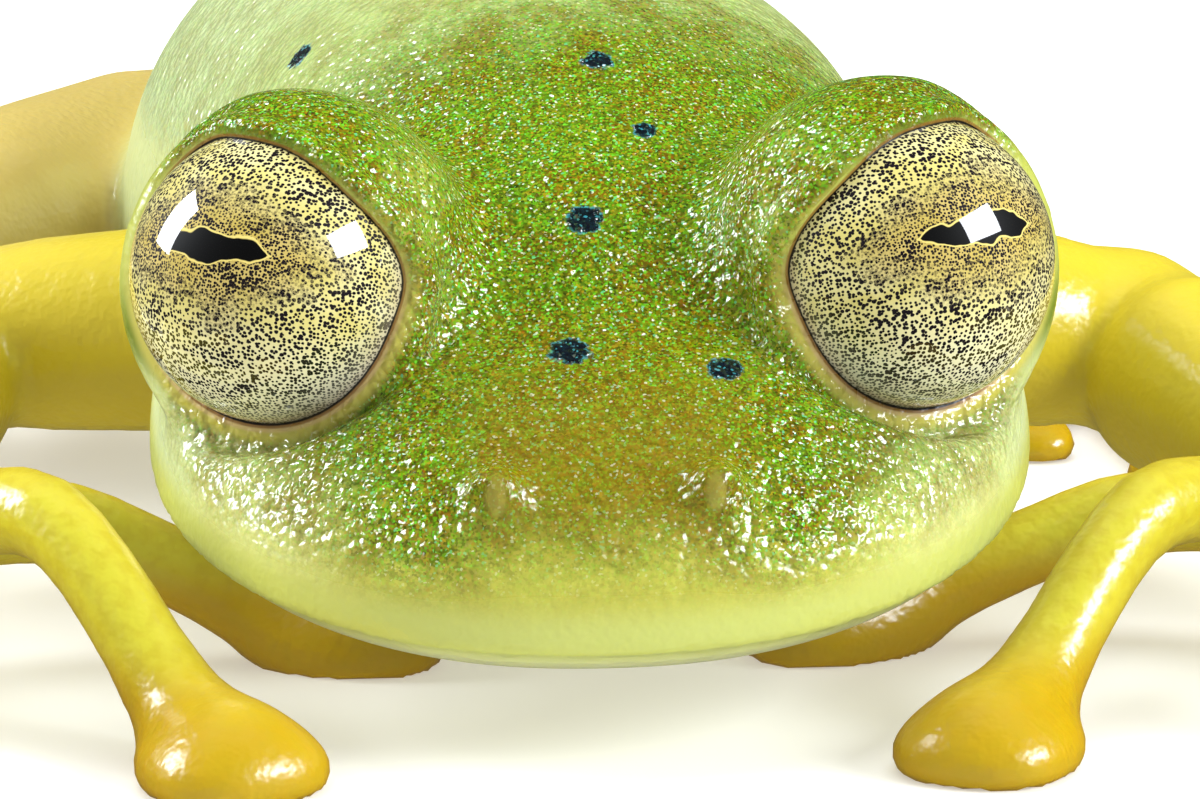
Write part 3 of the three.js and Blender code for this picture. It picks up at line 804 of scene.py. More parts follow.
class Flesh:
    """The whole frog as one distance field, with the widths in mm that its parts are blended by."""

    NECK = 1.6
    LIDS = 0.35
    PITS = 0.08

    def __init__(self) -> None:
        """Collect the head, the trunk, the lids and the limbs."""
        self.head = HeadSizes()
        self.trunk = TrunkSizes()
        self.parts: list[Limb | Swelling | Web | Ring] = []
        for side in SIDES.values():
            self.parts += self.face_details(side)
        for word in SIDES:
            self.parts += ArmSizes().shapes(word)
            self.parts += LegSizes().shapes(word)

    def face_details(self, side: float) -> list[Limb | Swelling | Ring]:
        """List the small forms of one side of the face.

        Args:
            side: 1 for the frog's left side and -1 for its right one.

        Returns:
            The roll of the lids, the nostril's swelling, the fold behind the eye and the eardrum's ring.
        """
        head = self.head
        fold = tuple(HEAD.outward(mirrored(p, side)) for p in head.fold)
        drum = HEAD.outward(mirrored(head.eardrum, side))
        facing = np.array(HEAD.outward(mirrored(head.eardrum_facing, side))) - np.array(HEAD.outward((0, 0, 0)))
        facing = tuple(facing / np.linalg.norm(facing))
        return [
            Limb(*EYE.lid_roll(side), 0.3, steps=2, zone=Zone.CROWN),
            Swelling(mirrored(head.nostril, side), (head.nostril_radius,) * 3, place=HEAD, blend=0.35),
            Limb(fold, head.fold_radii, 0.35, zone=Zone.CROWN),
            Ring(drum, facing, head.eardrum_radius, head.eardrum_cord, 0.12),
        ]

    def distance(self, x: Array, y: Array, z: Array) -> Array:
        """Measure how far points lie outside the frog.

        Each part is worked out only where it can reach, and blended on with its own width. The pits
        of the nostrils are cut last, and the floor trims all that lies below it.

        Args:
            x: sideways coordinates in mm, any shape that broadcasts with the others.
            y: backward coordinates in mm.
            z: heights in mm.

        Returns:
            Distances in mm, negative inside.
        """
        whole = blended(self.head.distance(x, y, z), self.trunk.distance(x, y, z), self.NECK)
        for side in SIDES.values():
            whole = -blended(-whole, EYE.opening(side, x, y, z), self.LIDS)
        for part in self.parts:
            low, high = part.reach()
            cut, here = window(x, y, z, low, high)
            if whole[cut].size:
                whole[cut] = blended(whole[cut], part.distance(*here), part.blend)
        for side in SIDES.values():
            pit = tuple(a + b for a, b in zip(self.head.nostril, self.head.pit))
            px, py, pz = HEAD.outward(mirrored(pit, side))
            hole = np.sqrt((x - px) ** 2 + (y - py) ** 2 + ((z - pz) * self.head.pit_height) ** 2)
            whole = -blended(-whole, hole - self.head.pit_radius, self.PITS)
        return np.maximum(whole, 0.0 - z)


def surface_net(values: Array, x: Array, y: Array, z: Array) -> tuple[Array, Array]:
    """Mesh the zero level of a field on a lattice whose planes may shift from row to row.

    Each cell that the surface crosses gets one vertex, the mean of the crossings on its edges, and
    each crossed edge of the lattice gets one quad between the four cells round it.

    Args:
        values: field values on the lattice's nodes.
        x: the nodes' sideways coordinates, by index across and back.
        y: their backward coordinates, by index back.
        z: their heights, by index back and in height.

    Returns:
        Vertex positions, and quads as rows of four vertex indices.
    """

    def position(node: Array) -> Array:
        """Find where nodes of the lattice lie."""
        i, j, k = node.T
        return np.stack([x[i, j, 0], y[0, j, 0], z[0, j, k]], axis=1)

    inside = values < 0.0
    shape = np.array(values.shape) - 1
    total = np.zeros((*shape, 3))
    count = np.zeros(shape, dtype=np.int8)
    rims = []
    for axis in range(3):
        step = np.eye(3, dtype=int)[axis]
        low = tuple(slice(0, -1) if i == axis else slice(None) for i in range(3))
        high = tuple(slice(1, None) if i == axis else slice(None) for i in range(3))
        start = np.argwhere(inside[low] != inside[high])
        a, b = values[tuple(start.T)], values[tuple((start + step).T)]
        share = (a / (a - b))[:, None]
        place = position(start) * (1.0 - share) + position(start + step) * share
        u, v = (np.eye(3, dtype=int)[i] for i in range(3) if i != axis)
        cells = np.stack([start, start - u, start - u - v, start - v], axis=1)
        kept = ((cells >= 0) & (cells < shape)).all(axis=(1, 2))
        cells, place, outward = cells[kept], place[kept], inside[tuple(start[kept].T)]
        for corner in range(4):
            where = tuple(cells[:, corner].T)
            np.add.at(total, where, place)
            np.add.at(count, where, 1)
        cells[outward ^ (axis != 1)] = cells[outward ^ (axis != 1)][:, ::-1]
        rims.append(cells)
    used = count > 0
    index = np.cumsum(used.ravel()).reshape(used.shape) - 1
    points = total[used] / count[used][:, None]
    quads = np.vstack([index[tuple(np.moveaxis(cells, 2, 0))] for cells in rims])
    return points, quads


class Skin:
    """The frog's one skin, from its snout to its toe discs.

    Each dark spot lists its places across and back and its radius in mm, in the head's frame up to the
    head's end and in the trunk's behind it.
    """

    SPOTS = (
        (-0.05, 4.9, 0.22), (-0.3, 2.98, 0.235), (1.44, 2.78, 0.205), (0.72, 6.4, 0.15), (0.2, 7.9, 0.2),
        (-0.1, 10.2, 0.22), (-3.1, 10.0, 0.2), (2.2, 12.0, 0.26), (-1.8, 13.5, 0.26), (0.9, 15.2, 0.3),
        (3.0, 16.5, 0.24), (-2.9, 17.4, 0.26), (-0.6, 19.0, 0.28), (1.6, 20.6, 0.22),
    )
    SPOTS_ABOVE = 3.2
    HEAD_END = 8.5
    PROBE = 0.01
    LEAST_SLOPE = 0.2

    def __init__(self, shift: Array) -> None:
        """Keep where the drawing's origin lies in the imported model, in mm."""
        self.flesh = Flesh()
        self.shift = shift

    def mesh_arrays(self) -> tuple[Array, Array]:
        """Work out the skin's points and quads.

        The field is meshed on uneven planes, and each point then slides along the field's slope onto
        the zero level twice, a step of the value over the squared slope.

        Returns:
            Points in mm in the frog's frame, and quads.
        """
        x, y, z = Lattice().planes()
        values = self.flesh.distance(*(line.astype(np.float32) for line in (x, y, z)))
        LOG.info("skin field %s", values.shape)
        points, quads = surface_net(values, x, y, z)
        for _ in range(2):
            value, slope = self.slope(points)
            points -= slope * (value / np.maximum((slope**2).sum(axis=1), self.LEAST_SLOPE))[:, None]
        points[:, 2] = np.maximum(points[:, 2], 0.0)
        return points, quads

    def spots(self, points: Array) -> list[tuple[Array, float]]:
        """Lay the dark spots on the skin.

        Args:
            points: the skin's points in mm in the frog's frame.

        Returns:
            For each spot its middle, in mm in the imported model's frame, and its radius.
        """
        laid = []
        upper = points[points[:, 2] > self.SPOTS_ABOVE]
        for across, back, radius in self.SPOTS:
            place = HEAD if back < self.HEAD_END else TRUNK
            x, y, _ = place.inward(*upper.T)
            nearest = np.argmin((x - across) ** 2 + (y - back) ** 2)
            laid.append((upper[nearest] + self.shift, radius))
        return laid

    def slope(self, points: Array) -> tuple[Array, Array]:
        """Find the field's value and slope at points, by a short step along each axis.

        Args:
            points: places in mm, one row each.

        Returns:
            The values, and the slopes as rows.
        """
        value = self.flesh.distance(*points.T)
        rows = []
        for axis in range(3):
            moved = points.copy()
            moved[:, axis] += self.PROBE
            rows.append((self.flesh.distance(*moved.T) - value) / self.PROBE)
        return value, np.stack(rows, axis=1)

    def build(self, finish: SkinFinish) -> bpy.types.Object:
        """Make the skin's object and dress it.

        Args:
            finish: the skin's finish.

        Returns:
            The finished object.
        """
        points, quads = self.mesh_arrays()
        skin = mesh_object("skin", (points + self.shift) * MM, quads)
        tint, *masks = SkinMap(self.flesh, points).layers()
        paint_colour(skin, "tint", tint)
        for name, values in zip(("grain", "glitter", "hand"), masks):
            paint(skin, name, values)
        skin.data.materials.append(finish.material(self.shift, self.spots(points)))
        LOG.info("skin: %d points, %d quads", len(points), len(quads))
        return skin


def mesh_object(name: str, points: Array, faces: Array) -> bpy.types.Object:
    """Make a smooth mesh object from arrays.

    Args:
        name: the object's name.
        points: positions in metres, one row each.
        faces: rows of vertex indices, all of one length.

    Returns:
        The linked object.
    """
    mesh = bpy.data.meshes.new(name)
    count, corners = faces.shape
    mesh.vertices.add(len(points))
    mesh.vertices.foreach_set("co", points.astype(np.float32).ravel())
    mesh.loops.add(count * corners)
    mesh.loops.foreach_set("vertex_index", faces.astype(np.int32).ravel())
    mesh.polygons.add(count)
    mesh.polygons.foreach_set("loop_start", np.arange(0, count * corners, corners, dtype=np.int32))
    mesh.update(calc_edges=True)
    mesh.validate()
    mesh.shade_smooth()
    made = bpy.data.objects.new(name, mesh)
    bpy.context.collection.objects.link(made)
    return made


def paint_colour(piece: bpy.types.Object, name: str, rows: Array) -> None:
    """Store a colour for each point of a piece."""
    layer = piece.data.color_attributes.new(name, "FLOAT_COLOR", "POINT")
    full = np.concatenate([rows, np.ones((len(rows), 1))], axis=1)
    layer.data.foreach_set("color", full.astype(np.float32).ravel())


def paint(piece: bpy.types.Object, name: str, rows: Array) -> None:
    """Store a number or a vector for each point of a piece."""
    kind, key = ("FLOAT", "value") if rows.ndim == 1 else ("FLOAT_VECTOR", "vector")
    layer = piece.data.attributes.new(name, kind, "POINT")
    layer.data.foreach_set(key, rows.astype(np.float32).ravel())


def colour(red: int, green: int, blue: int) -> Array:
    """Turn a colour of 0 to 255 as seen into linear light."""
    seen = np.array([red, green, blue]) / 255.0
    return np.where(seen <= 0.04045, seen / 12.92, ((seen + 0.055) / 1.055) ** 2.4)


def pigment(red: int, green: int, blue: int) -> Array:
    """Give the pigment that looks like a colour of 0 to 255 in the studio's bright light."""
    return colour(red, green, blue) * PIGMENT


@dataclass(frozen=True)
class Palette:
    """The frog's ground colours, as they look in the studio, with painted highlight on the domes' flanks and
    painted backlight on the nape and back.
    """

    crown: Tone = (114, 132, 18)
    # nape and back: paler towards the rear, painted to look backlit and out of focus
    nape: Tone = (202, 216, 136)
    back: Tone = (214, 228, 166)
    # the domes' inner flanks: a lighter yellow-green, partly the skin's own and partly a painted highlight
    flank_and_highlight: Tone = (222, 224, 110)
    snout: Tone = (148, 116, 0)
    lower_face: Tone = (210, 208, 84)
    cheek: Tone = (236, 238, 156)
    edge: Tone = (224, 243, 190)
    lip: Tone = (212, 218, 114)
    throat: Tone = (238, 240, 176)
    limb: Tone = (232, 208, 48)
    thigh: Tone = (224, 196, 122)
    hand: Tone = (222, 214, 56)
    disc: Tone = (204, 168, 2)
    belly: Tone = (222, 222, 160)


class SkinMap:
    """The skin's colours and grain, worked out from where each point lies on the body."""

    def __init__(self, flesh: Flesh, points: Array) -> None:
        """Keep the points and how near each lies to each zone.

        Args:
            flesh: the frog's flesh.
            points: the skin's points in mm in the frog's frame.
        """
        self.points = points
        self.near = {zone: np.full(len(points), FAR) for zone in Zone}
        for part in flesh.parts:
            low, high = part.reach()
            here = ((points > low) & (points < high)).all(axis=1)
            away = part.distance(*points[here].T)
            self.near[part.zone][here] = np.minimum(self.near[part.zone][here], away)
        body = np.minimum(flesh.head.distance(*points.T), flesh.trunk.distance(*points.T))
        self.near[Zone.CROWN] = np.minimum(self.near[Zone.CROWN], body)

    def share(self, zone: Zone, width: float) -> Array:
        """Give how much each point belongs to a zone rather than to the others.

        Args:
            zone: the zone asked for.
            width: how wide the change between zones is, in mm.

        Returns:
            Values from 0 to 1.
        """
        others = np.minimum.reduce([self.near[z] for z in Zone if z is not zone])
        return smooth_step(-width, width, others - self.near[zone])

    def bare_lids(self) -> Array:
        """Give how far each point belongs to the smooth rims of the lids."""
        away = np.minimum(*(np.linalg.norm(self.points - EYE.middle(side), axis=1) for side in SIDES.values()))
        return smooth_step(*EYE.bare, away - EYE.radius)

    def layers(self) -> tuple[Array, Array, Array, Array]:
        """Work out the ground colour, and how strong the granules, the glitter and the amber are.

        Each tone is laid over those before it by an amount made from places in mm: x, back and height
        in the frog's frame, and the same in the head's and the trunk's.

        Returns:
            Colours, granule strengths, glitter strengths and how far each point is on a hand or foot.
        """
        p = Palette()
        height = self.points[:, 2]
        head_x, head_back, head_up = HEAD.inward(*self.points.T)
        _, trunk_back, trunk_up = TRUNK.inward(*self.points.T)
        aside = np.abs(head_x)
        face = smooth_step(9.5, 7.5, head_back)
        trunk = smooth_step(8.0, 9.5, trunk_back)
        # the inner flanks of the eye domes, lightened partly as a painted highlight
        flank_and_highlight = smooth_step(1.2, 2.2, aside) * smooth_step(6.0, 5.0, head_back) * smooth_step(2.0, 3.0, head_up)
        flank_and_highlight = flank_and_highlight * smooth_step(4.9, 4.1, head_up)
        snout = smooth_step(5.0, 2.6, head_back) * smooth_step(3.0, 0.9, aside) * smooth_step(0.6, 1.4, head_up)
        limb = self.share(Zone.LIMB, 0.5)
        hand = np.maximum(self.share(Zone.HAND, 0.4), self.share(Zone.FOOT, 0.4))
        tint = np.tile(pigment(*p.crown), (len(aside), 1))
        for tone, amount in (
            # painted backlight: the skin pales from the nape to the back
            (p.nape, smooth_step(6.2, 9.2, trunk_back)),
            (p.back, smooth_step(8.8, 14.0, trunk_back)),
            (p.flank_and_highlight, flank_and_highlight * 0.8),
            (p.snout, snout * 0.9),
            (p.lower_face, smooth_step(1.8, 0.8, head_up) * face),
            (p.cheek, smooth_step(2.4, 4.4, aside) * smooth_step(2.2, 1.0, head_up) * face),
            (p.edge, smooth_step(4.5, 5.2, aside) * smooth_step(2.0, 1.0, head_up) * face * 0.8),
            (p.lip, smooth_step(0.75, 0.35, head_up) * face),
            (p.throat, smooth_step(0.12, -0.3, head_up) * face),
            (p.cheek, smooth_step(4.4, 2.4, trunk_up) * trunk * 0.7),
            (p.belly, smooth_step(2.0, 0.7, trunk_up) * trunk),
            (p.limb, limb),
            (p.thigh, limb * smooth_step(11.0, 14.0, trunk_back) * smooth_step(1.2, 2.6, height) * 0.75),
            (p.hand, hand),
            (p.disc, hand * smooth_step(1.5, 0.75, height)),
        ):
            tint = tint + (pigment(*tone) - tint) * np.clip(amount, 0.0, 1.0)[:, None]

        bare = np.maximum(hand, limb * 0.75)
        green = (1.0 - bare) * (1.0 - self.bare_lids())
        green = green * smooth_step(1.2, 2.8, height) * smooth_step(5.3, 4.7, aside * face)
        centre = smooth_step(2.3, 0.9, aside) * smooth_step(2.9, 1.9, head_up) * face
        cheeks = smooth_step(2.0, 3.4, aside) * smooth_step(2.6, 1.4, head_up) * face
        pale = np.maximum(cheeks * 0.5, flank_and_highlight * 0.2)
        behind = smooth_step(6.0, 10.0, trunk_back)
        grain = green * smooth_step(0.45, 1.5, head_up) * (1.0 - 0.65 * centre) * (1.0 - 0.55 * behind)
        glitter = green * smooth_step(0.3, 1.3, head_up) * (1.0 - 0.6 * centre) * (1.0 - pale)
        return tint, grain, glitter * (1.0 - 0.8 * behind), hand


class Wiring:
    """A short hand for laying shader nodes in a tree."""

    def __init__(self, tree: bpy.types.NodeTree) -> None:
        """Keep the tree and clear it."""
        self.tree = tree
        tree.nodes.clear()

    def node(self, kind: str, settings: dict | None = None, **inputs: object) -> bpy.types.Node:
        """Add a node, set its options, and set or link its inputs.

        Args:
            kind: the node's type name without its prefix.
            settings: options of the node itself.
            inputs: values, colours as arrays, or output sockets by input name, with spaces written as
                underscores, or by position as i0, i1 and so on.

        Returns:
            The new node.
        """
        made = self.tree.nodes.new("ShaderNode" + kind)
        for key, value in (settings or {}).items():
            setattr(made, key, value)
        for key, value in inputs.items():
            by_position = key[0] == "i" and key[1:].isdigit()
            socket = made.inputs[int(key[1:]) if by_position else key.replace("_", " ")]
            if isinstance(value, Socket):
                self.tree.links.new(value, socket)
            else:
                socket.default_value = (*value.tolist(), 1.0) if isinstance(value, Array) else value
        return made

    def math(self, operation: str, a: object, b: object = 0.5, c: object = 0.0) -> Socket:
        """Add a sum or other number node and give its output."""
        return self.node("Math", {"operation": operation}, i0=a, i1=b, i2=c).outputs[0]

    def times(self, a: object, b: object) -> Socket:
        """Multiply two numbers."""
        return self.math("MULTIPLY", a, b)

    def vector(self, operation: str, a: object, b: object = (0.0, 0.0, 0.0)) -> Socket:
        """Add a vector node and give its output, a number for a distance or a length."""
        made = self.node("VectorMath", {"operation": operation}, i0=a, i1=b)
        return made.outputs["Value" if operation in ("DISTANCE", "LENGTH") else "Vector"]

    def attribute(self, name: str, output: str = "Fac") -> Socket:
        """Read an attribute of the mesh."""
        return self.node("Attribute", {"attribute_name": name}).outputs[output]

    def noise(self, place: Socket, scale: float, detail: float, flat: bool = False, **more: float) -> Socket:
        """Add a noise, in space or on a plane map, and give its height."""
        dimensions = {"noise_dimensions": "2D" if flat else "3D"}
        return self.node("TexNoise", dimensions, Vector=place, Scale=scale, Detail=detail, **more).outputs["Fac"]

    def cells(self, place: Socket, scale: object, flat: bool = False, spread: float = 1.0) -> bpy.types.Node:
        """Add a texture of cells, in space or on a plane map, spread evenly at 0 and at random at 1."""
        dimensions = {"voronoi_dimensions": "2D" if flat else "3D"}
        return self.node("TexVoronoi", dimensions, Vector=place, Scale=scale, Randomness=spread)

    def ramp(self, value: object, low: object, high: object, start: float = 0.0, end: float = 1.0) -> Socket:
        """Map a value smoothly from one range to another.

        Args:
            value: the value to map.
            low: the value that gives the start.
            high: the value that gives the end.
            start: what comes out at low and past it.
            end: what comes out at high and past it.

        Returns:
            The mapped value.
        """
        made = self.node(
            "MapRange", {"interpolation_type": "SMOOTHSTEP"},
            Value=value, From_Min=low, From_Max=high, To_Min=start, To_Max=end,
        )
        return made.outputs[0]

    def mix(self, amount: object, a: object, b: object) -> Socket:
        """Mix two colours by an amount and give the output."""
        return self.node("Mix", {"data_type": "RGBA"}, i0=amount, i6=a, i7=b).outputs[2]

    def stained(self, tone: Socket, amount: object, stain: Tone) -> Socket:
        """Lay a stain over a colour by an amount."""
        return self.mix(amount, tone, pigment(*stain))

    def stops(self, value: Socket, tones: tuple[tuple[float, Tone], ...]) -> Socket:
        """Run a value through a ramp of pigments.

        Args:
            value: the value, from 0 to 1.
            tones: the pigments, each with its place on the ramp.

        Returns:
            The colour.
        """
        made = self.node("ValToRGB", None, Fac=value)
        made.color_ramp.interpolation = "EASE"
        for _ in range(len(tones) - 2):
            made.color_ramp.elements.new(0.5)
        for element, (at, tone) in zip(made.color_ramp.elements, tones):
            element.position = at
            element.color = (*pigment(*tone), 1.0)
        return made.outputs[0]


def dots_group(flat: bool) -> bpy.types.NodeTree:
    """Build the group that scatters dots of uneven size.

    Args:
        flat: whether the dots are laid on a plane map rather than through space.

    Returns:
        A group with Vector, Scale, Size and Spread inputs and a Mask output, 1 inside a dot.
    """
    name = "dots_flat" if flat else "dots_round"
    group = bpy.data.node_groups.get(name)
    if group:
        return group
    group = bpy.data.node_groups.new(name, "ShaderNodeTree")
    for title, kind in (("Vector", "Vector"), ("Scale", "Float"), ("Size", "Float"), ("Spread", "Float")):
        group.interface.new_socket(title, in_out="INPUT", socket_type="NodeSocket" + kind)
    group.interface.new_socket("Mask", in_out="OUTPUT", socket_type="NodeSocketFloat")
    w = Wiring(group)
    given = group.nodes.new("NodeGroupInput").outputs
    out = group.nodes.new("NodeGroupOutput")
    cells = w.cells(given["Vector"], given["Scale"], flat, 0.85)
    chance = w.node("SeparateColor", None, i0=cells.outputs["Color"]).outputs[0]
    wobble = w.times(w.math("SUBTRACT", chance, 0.5), given["Spread"])
    depth = w.math("SUBTRACT", w.math("ADD", given["Size"], wobble), cells.outputs["Distance"])
    group.links.new(w.ramp(depth, -0.05, 0.05), out.inputs["Mask"])
    return group


def dots(w: Wiring, flat: bool, place: Socket, scale: float, size: Socket, spread: float) -> Socket:
    """Place the dots group in a material and give its mask."""
    tree = {"node_tree": dots_group(flat)}
    return w.node("Group", tree, Vector=place, Scale=scale, Size=size, Spread=spread).outputs[0]


def new_material(name: str) -> tuple[bpy.types.Material, Wiring]:
    """Make an empty node material and the wiring of its tree."""
    made = bpy.data.materials.new(name)
    made.use_nodes = True
    return made, Wiring(made.node_tree)


@dataclass(frozen=True)
class SkinFinish:
    """Moist green skin: granules with painted shade between them, glitter of gold and green, dark dots and
    blue-black spots.

    The scales are cells or waves in a mm, the depth is in metres, and the tones are as they look in
    the studio. Each glint lists its place on the ramp of the glitter; the near-white last one is a painted
    highlight.
    """

    granule: float = 7.0
    squiggle: float = 7.5
    glitter: float = 36.0
    fleck: float = 15.0
    dot: float = 12.0
    depth: float = 0.000036
    scattering: float = 0.25
    scatter_scale: float = 0.0003
    scatter_reach: Point = (1.0, 0.75, 0.2)
    nostril_size: Point = (7.6, 1.8, 4.2)

    olive: Tone = (142, 98, 0)
    shade: Tone = (120, 104, 0)
    fresh: Tone = (112, 186, 16)
    # painted shade: the darker colour laid in the hollows between granules
    pit: Tone = (50, 84, 0)
    rust: Tone = (186, 96, 4)
    dark: Tone = (58, 50, 6)
    # the glitter's own flecks of green, gold, orange and turquoise; the near-white last stop is a painted
    # highlight
    glints: tuple[tuple[float, Tone], ...] = (
        (0.0, (52, 70, 0)), (0.24, (80, 118, 0)), (0.4, (112, 190, 12)), (0.56, (150, 184, 20)),
        (0.7, (186, 158, 20)), (0.8, (90, 140, 0)), (0.88, (120, 236, 44)), (0.94, (110, 220, 146)),
        (0.97, (244, 252, 200)),
    )
    spot_ground: Tone = (16, 50, 70)
    spot_glint: Tone = (60, 180, 200)
    spot_core: Tone = (3, 8, 18)
    nostril: Tone = (186, 184, 84)
    # painted shade: the dark arc of the nostril's opening
    nostril_shade: Tone = (84, 62, 4)
    under_lid: Tone = (216, 206, 96)
    lid_roll: Tone = (232, 204, 134)
    lid_rim: Tone = (150, 96, 30)
    # painted shade: the black line in the crease between the lids and the eyeball
    lid_crease_shade: Tone = (16, 10, 8)
    # painted light: amber glow where hands and feet turn from the camera, as light through their thin flesh
    amber: Tone = (214, 156, 4)
    worn: Tone = (196, 168, 10)

    def spotted(self, w: Wiring, mm: Socket, spots: list[tuple[Array, float]]) -> Socket:
        """Find how deep each place lies inside the nearest spot.

        Args:
            w: the wiring of the material's tree.
            mm: places on the skin in mm.
            spots: the middle and radius of each spot.

        Returns:
            One less the distance over the radius, the greatest over all spots.
        """
        deepest = None
        for middle, radius in spots:
            depth = w.math("MULTIPLY_ADD", w.vector("DISTANCE", mm, tuple(middle)), -1.0 / radius, 1.0)
            deepest = depth if deepest is None else w.math("MAXIMUM", deepest, depth)
        return deepest

    def nostrils(self, w: Wiring, mm: Socket, shift: Array) -> Socket:
        """Find how far each place lies from the middle of the nearer nostril.

        Args:
            w: the wiring of the material's tree.
            mm: places on the skin in mm.
            shift: where the frog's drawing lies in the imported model, in mm.

        Returns:
            Coordinates across, back and up from the nostril, mirrored to the frog's left.
        """
        own = w.vector("SUBTRACT", mm, tuple(shift))
        half = w.vector("MULTIPLY", w.vector("ABSOLUTE", own), (1.0, 0.0, 0.0))
        folded = w.vector("ADD", half, w.vector("MULTIPLY", own, (0.0, 1.0, 1.0)))
        return w.vector("SUBTRACT", folded, HEAD.outward(HeadSizes().nostril))

    def off_eyes(self, w: Wiring, mm: Socket, shift: Array) -> Socket:
        """Find how far in mm each place stands off the nearer eyeball.

        Args:
            w: the wiring of the material's tree.
            mm: places on the skin in mm.
            shift: where the frog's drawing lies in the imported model, in mm.

        Returns:
            The distance to the eyeball's surface in mm.
        """
        away = (w.vector("DISTANCE", mm, tuple(EYE.middle(side) + shift)) for side in SIDES.values())
        return w.math("SUBTRACT", w.math("MINIMUM", *away), EYE.radius)

    def lids(self, w: Wiring, tone: Socket, mm: Socket, shift: Array) -> Socket:
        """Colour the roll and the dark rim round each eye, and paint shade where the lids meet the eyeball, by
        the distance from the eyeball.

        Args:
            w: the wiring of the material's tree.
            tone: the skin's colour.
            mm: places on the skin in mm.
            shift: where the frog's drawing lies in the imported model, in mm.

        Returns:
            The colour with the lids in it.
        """
        off = self.off_eyes(w, mm, shift)
        height = w.node("SeparateXYZ", None, Vector=mm).outputs[2]
        level = float(EYE.middle(1.0)[2] + shift[2])
        under = w.ramp(height, level + 0.6, level - 0.7)
        tone = w.stained(tone, w.times(w.ramp(off, 0.3, 0.14), under), self.under_lid)
        tone = w.stained(tone, w.times(w.ramp(off, 0.13, 0.08), under), self.lid_roll)
        tone = w.stained(tone, w.ramp(off, 0.07, 0.045, 0.0, 0.8), self.lid_rim)
        # painted shade in the crease where the lids touch the eyeball
        return w.mix(w.ramp(off, 0.03, 0.018), tone, colour(*self.lid_crease_shade))

    def material(self, shift: Array, spots: list[tuple[Array, float]]) -> bpy.types.Material:
        """Build the skin's material.

        Args:
            shift: where the frog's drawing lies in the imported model, in mm.
            spots: the middle and radius of each dark spot.

        Returns:
            The material.
        """
        made, w = new_material("frog_skin")
        place = w.node("TexCoord").outputs["Object"]
        mm = w.node("Mapping", {"vector_type": "POINT"}, Vector=place, Scale=(1.0 / MM,) * 3).outputs[0]
        hand = w.attribute("hand")

        beside = self.nostrils(w, mm, shift)
        reach = w.vector("LENGTH", w.vector("MULTIPLY", beside, self.nostril_size))
        bulge = w.ramp(reach, 1.25, 0.75)
        ring = w.times(w.ramp(reach, 0.85, 1.0), w.ramp(reach, 1.3, 1.1))
        # painted shade on the outer side of the nostril's ring, where its opening lies
        nostril_shade = w.times(ring, w.ramp(w.node("SeparateXYZ", None, Vector=beside).outputs[0], 0.0, 0.1))
        rough_skin = w.math("MULTIPLY_ADD", bulge, -0.55, 1.0)
        grain, glitter = (w.times(w.attribute(name), rough_skin) for name in ("grain", "glitter"))

        drift = w.noise(mm, 1.5, 3.0)
        mottle = w.noise(mm, 5.0, 2.0)
        wrinkle = w.noise(mm, self.squiggle, 1.0)
        near = w.cells(mm, self.granule).outputs["Distance"]

        tone = w.stained(w.attribute("tint", "Color"), w.times(w.ramp(drift, 0.4, 0.62), glitter), self.olive)
        tone = w.stained(tone, w.times(w.ramp(mottle, 0.58, 0.36), w.times(glitter, 0.3)), self.shade)
        tone = w.stained(tone, w.times(w.ramp(mottle, 0.52, 0.7), w.times(glitter, 0.5)), self.fresh)
        # painted shade in the hollows between granules, darker away from each granule's middle
        tone = w.stained(tone, w.times(w.ramp(near, 0.3, 0.75), w.times(glitter, 0.5)), self.pit)

        flecks = w.cells(mm, self.fleck)
        pick = w.node("SeparateColor", None, i0=flecks.outputs["Color"]).outputs[0]
        rust = w.times(w.ramp(pick, 0.84, 0.9), w.ramp(flecks.outputs["Distance"], 0.5, 0.25))
        rust = w.times(rust, w.times(glitter, w.ramp(drift, 0.35, 0.55, 0.1, 0.7)))
        tone = w.stained(tone, rust, self.rust)

        # glitter flecks: the skin's own colours, with a painted highlight where the near-white last stop is
        # picked
        sparks = w.cells(mm, self.glitter)
        chance = w.node("SeparateColor", None, i0=sparks.outputs["Color"]).outputs
        lit = w.times(w.ramp(chance[1], 0.2, 0.5), w.times(glitter, 0.85))
        tone = w.mix(lit, tone, w.stops(chance[0], self.glints))
        dark = dots(w, False, mm, self.dot, w.ramp(drift, 0.4, 0.7, 0.0, 0.26), 0.2)
        tone = w.stained(tone, w.times(dark, w.times(glitter, 0.6)), self.dark)

        ragged = w.math("ADD", self.spotted(w, mm, spots), w.math("SUBTRACT", wrinkle, 0.5))
        core = w.ramp(ragged, 0.02, 0.25)
        blue = w.mix(w.ramp(chance[2], 0.5, 0.75), pigment(*self.spot_ground), pigment(*self.spot_glint))
        tone = w.mix(w.times(w.ramp(ragged, -0.12, 0.12), 0.8), tone, blue)
        inked = w.times(core, w.ramp(chance[1], 0.93, 0.8, 0.3, 0.97))
        tone = w.mix(inked, tone, colour(*self.spot_core))

        tone = w.stained(tone, w.times(bulge, 0.35), self.nostril)
        tone = w.stained(tone, w.times(nostril_shade, 0.25), self.nostril_shade)
        tone = self.lids(w, tone, mm, shift)
        # painted light: edges turned from the camera go amber on hands and feet, a glow through the translucent
        # flesh
        grazing_glow = w.node("LayerWeight", None, Blend=0.35).outputs["Facing"]
        tone = w.stained(tone, w.times(grazing_glow, w.times(hand, 0.5)), self.amber)
        tone = w.stained(tone, w.times(w.ramp(mottle, 0.4, 0.65), w.times(hand, 0.3)), self.worn)

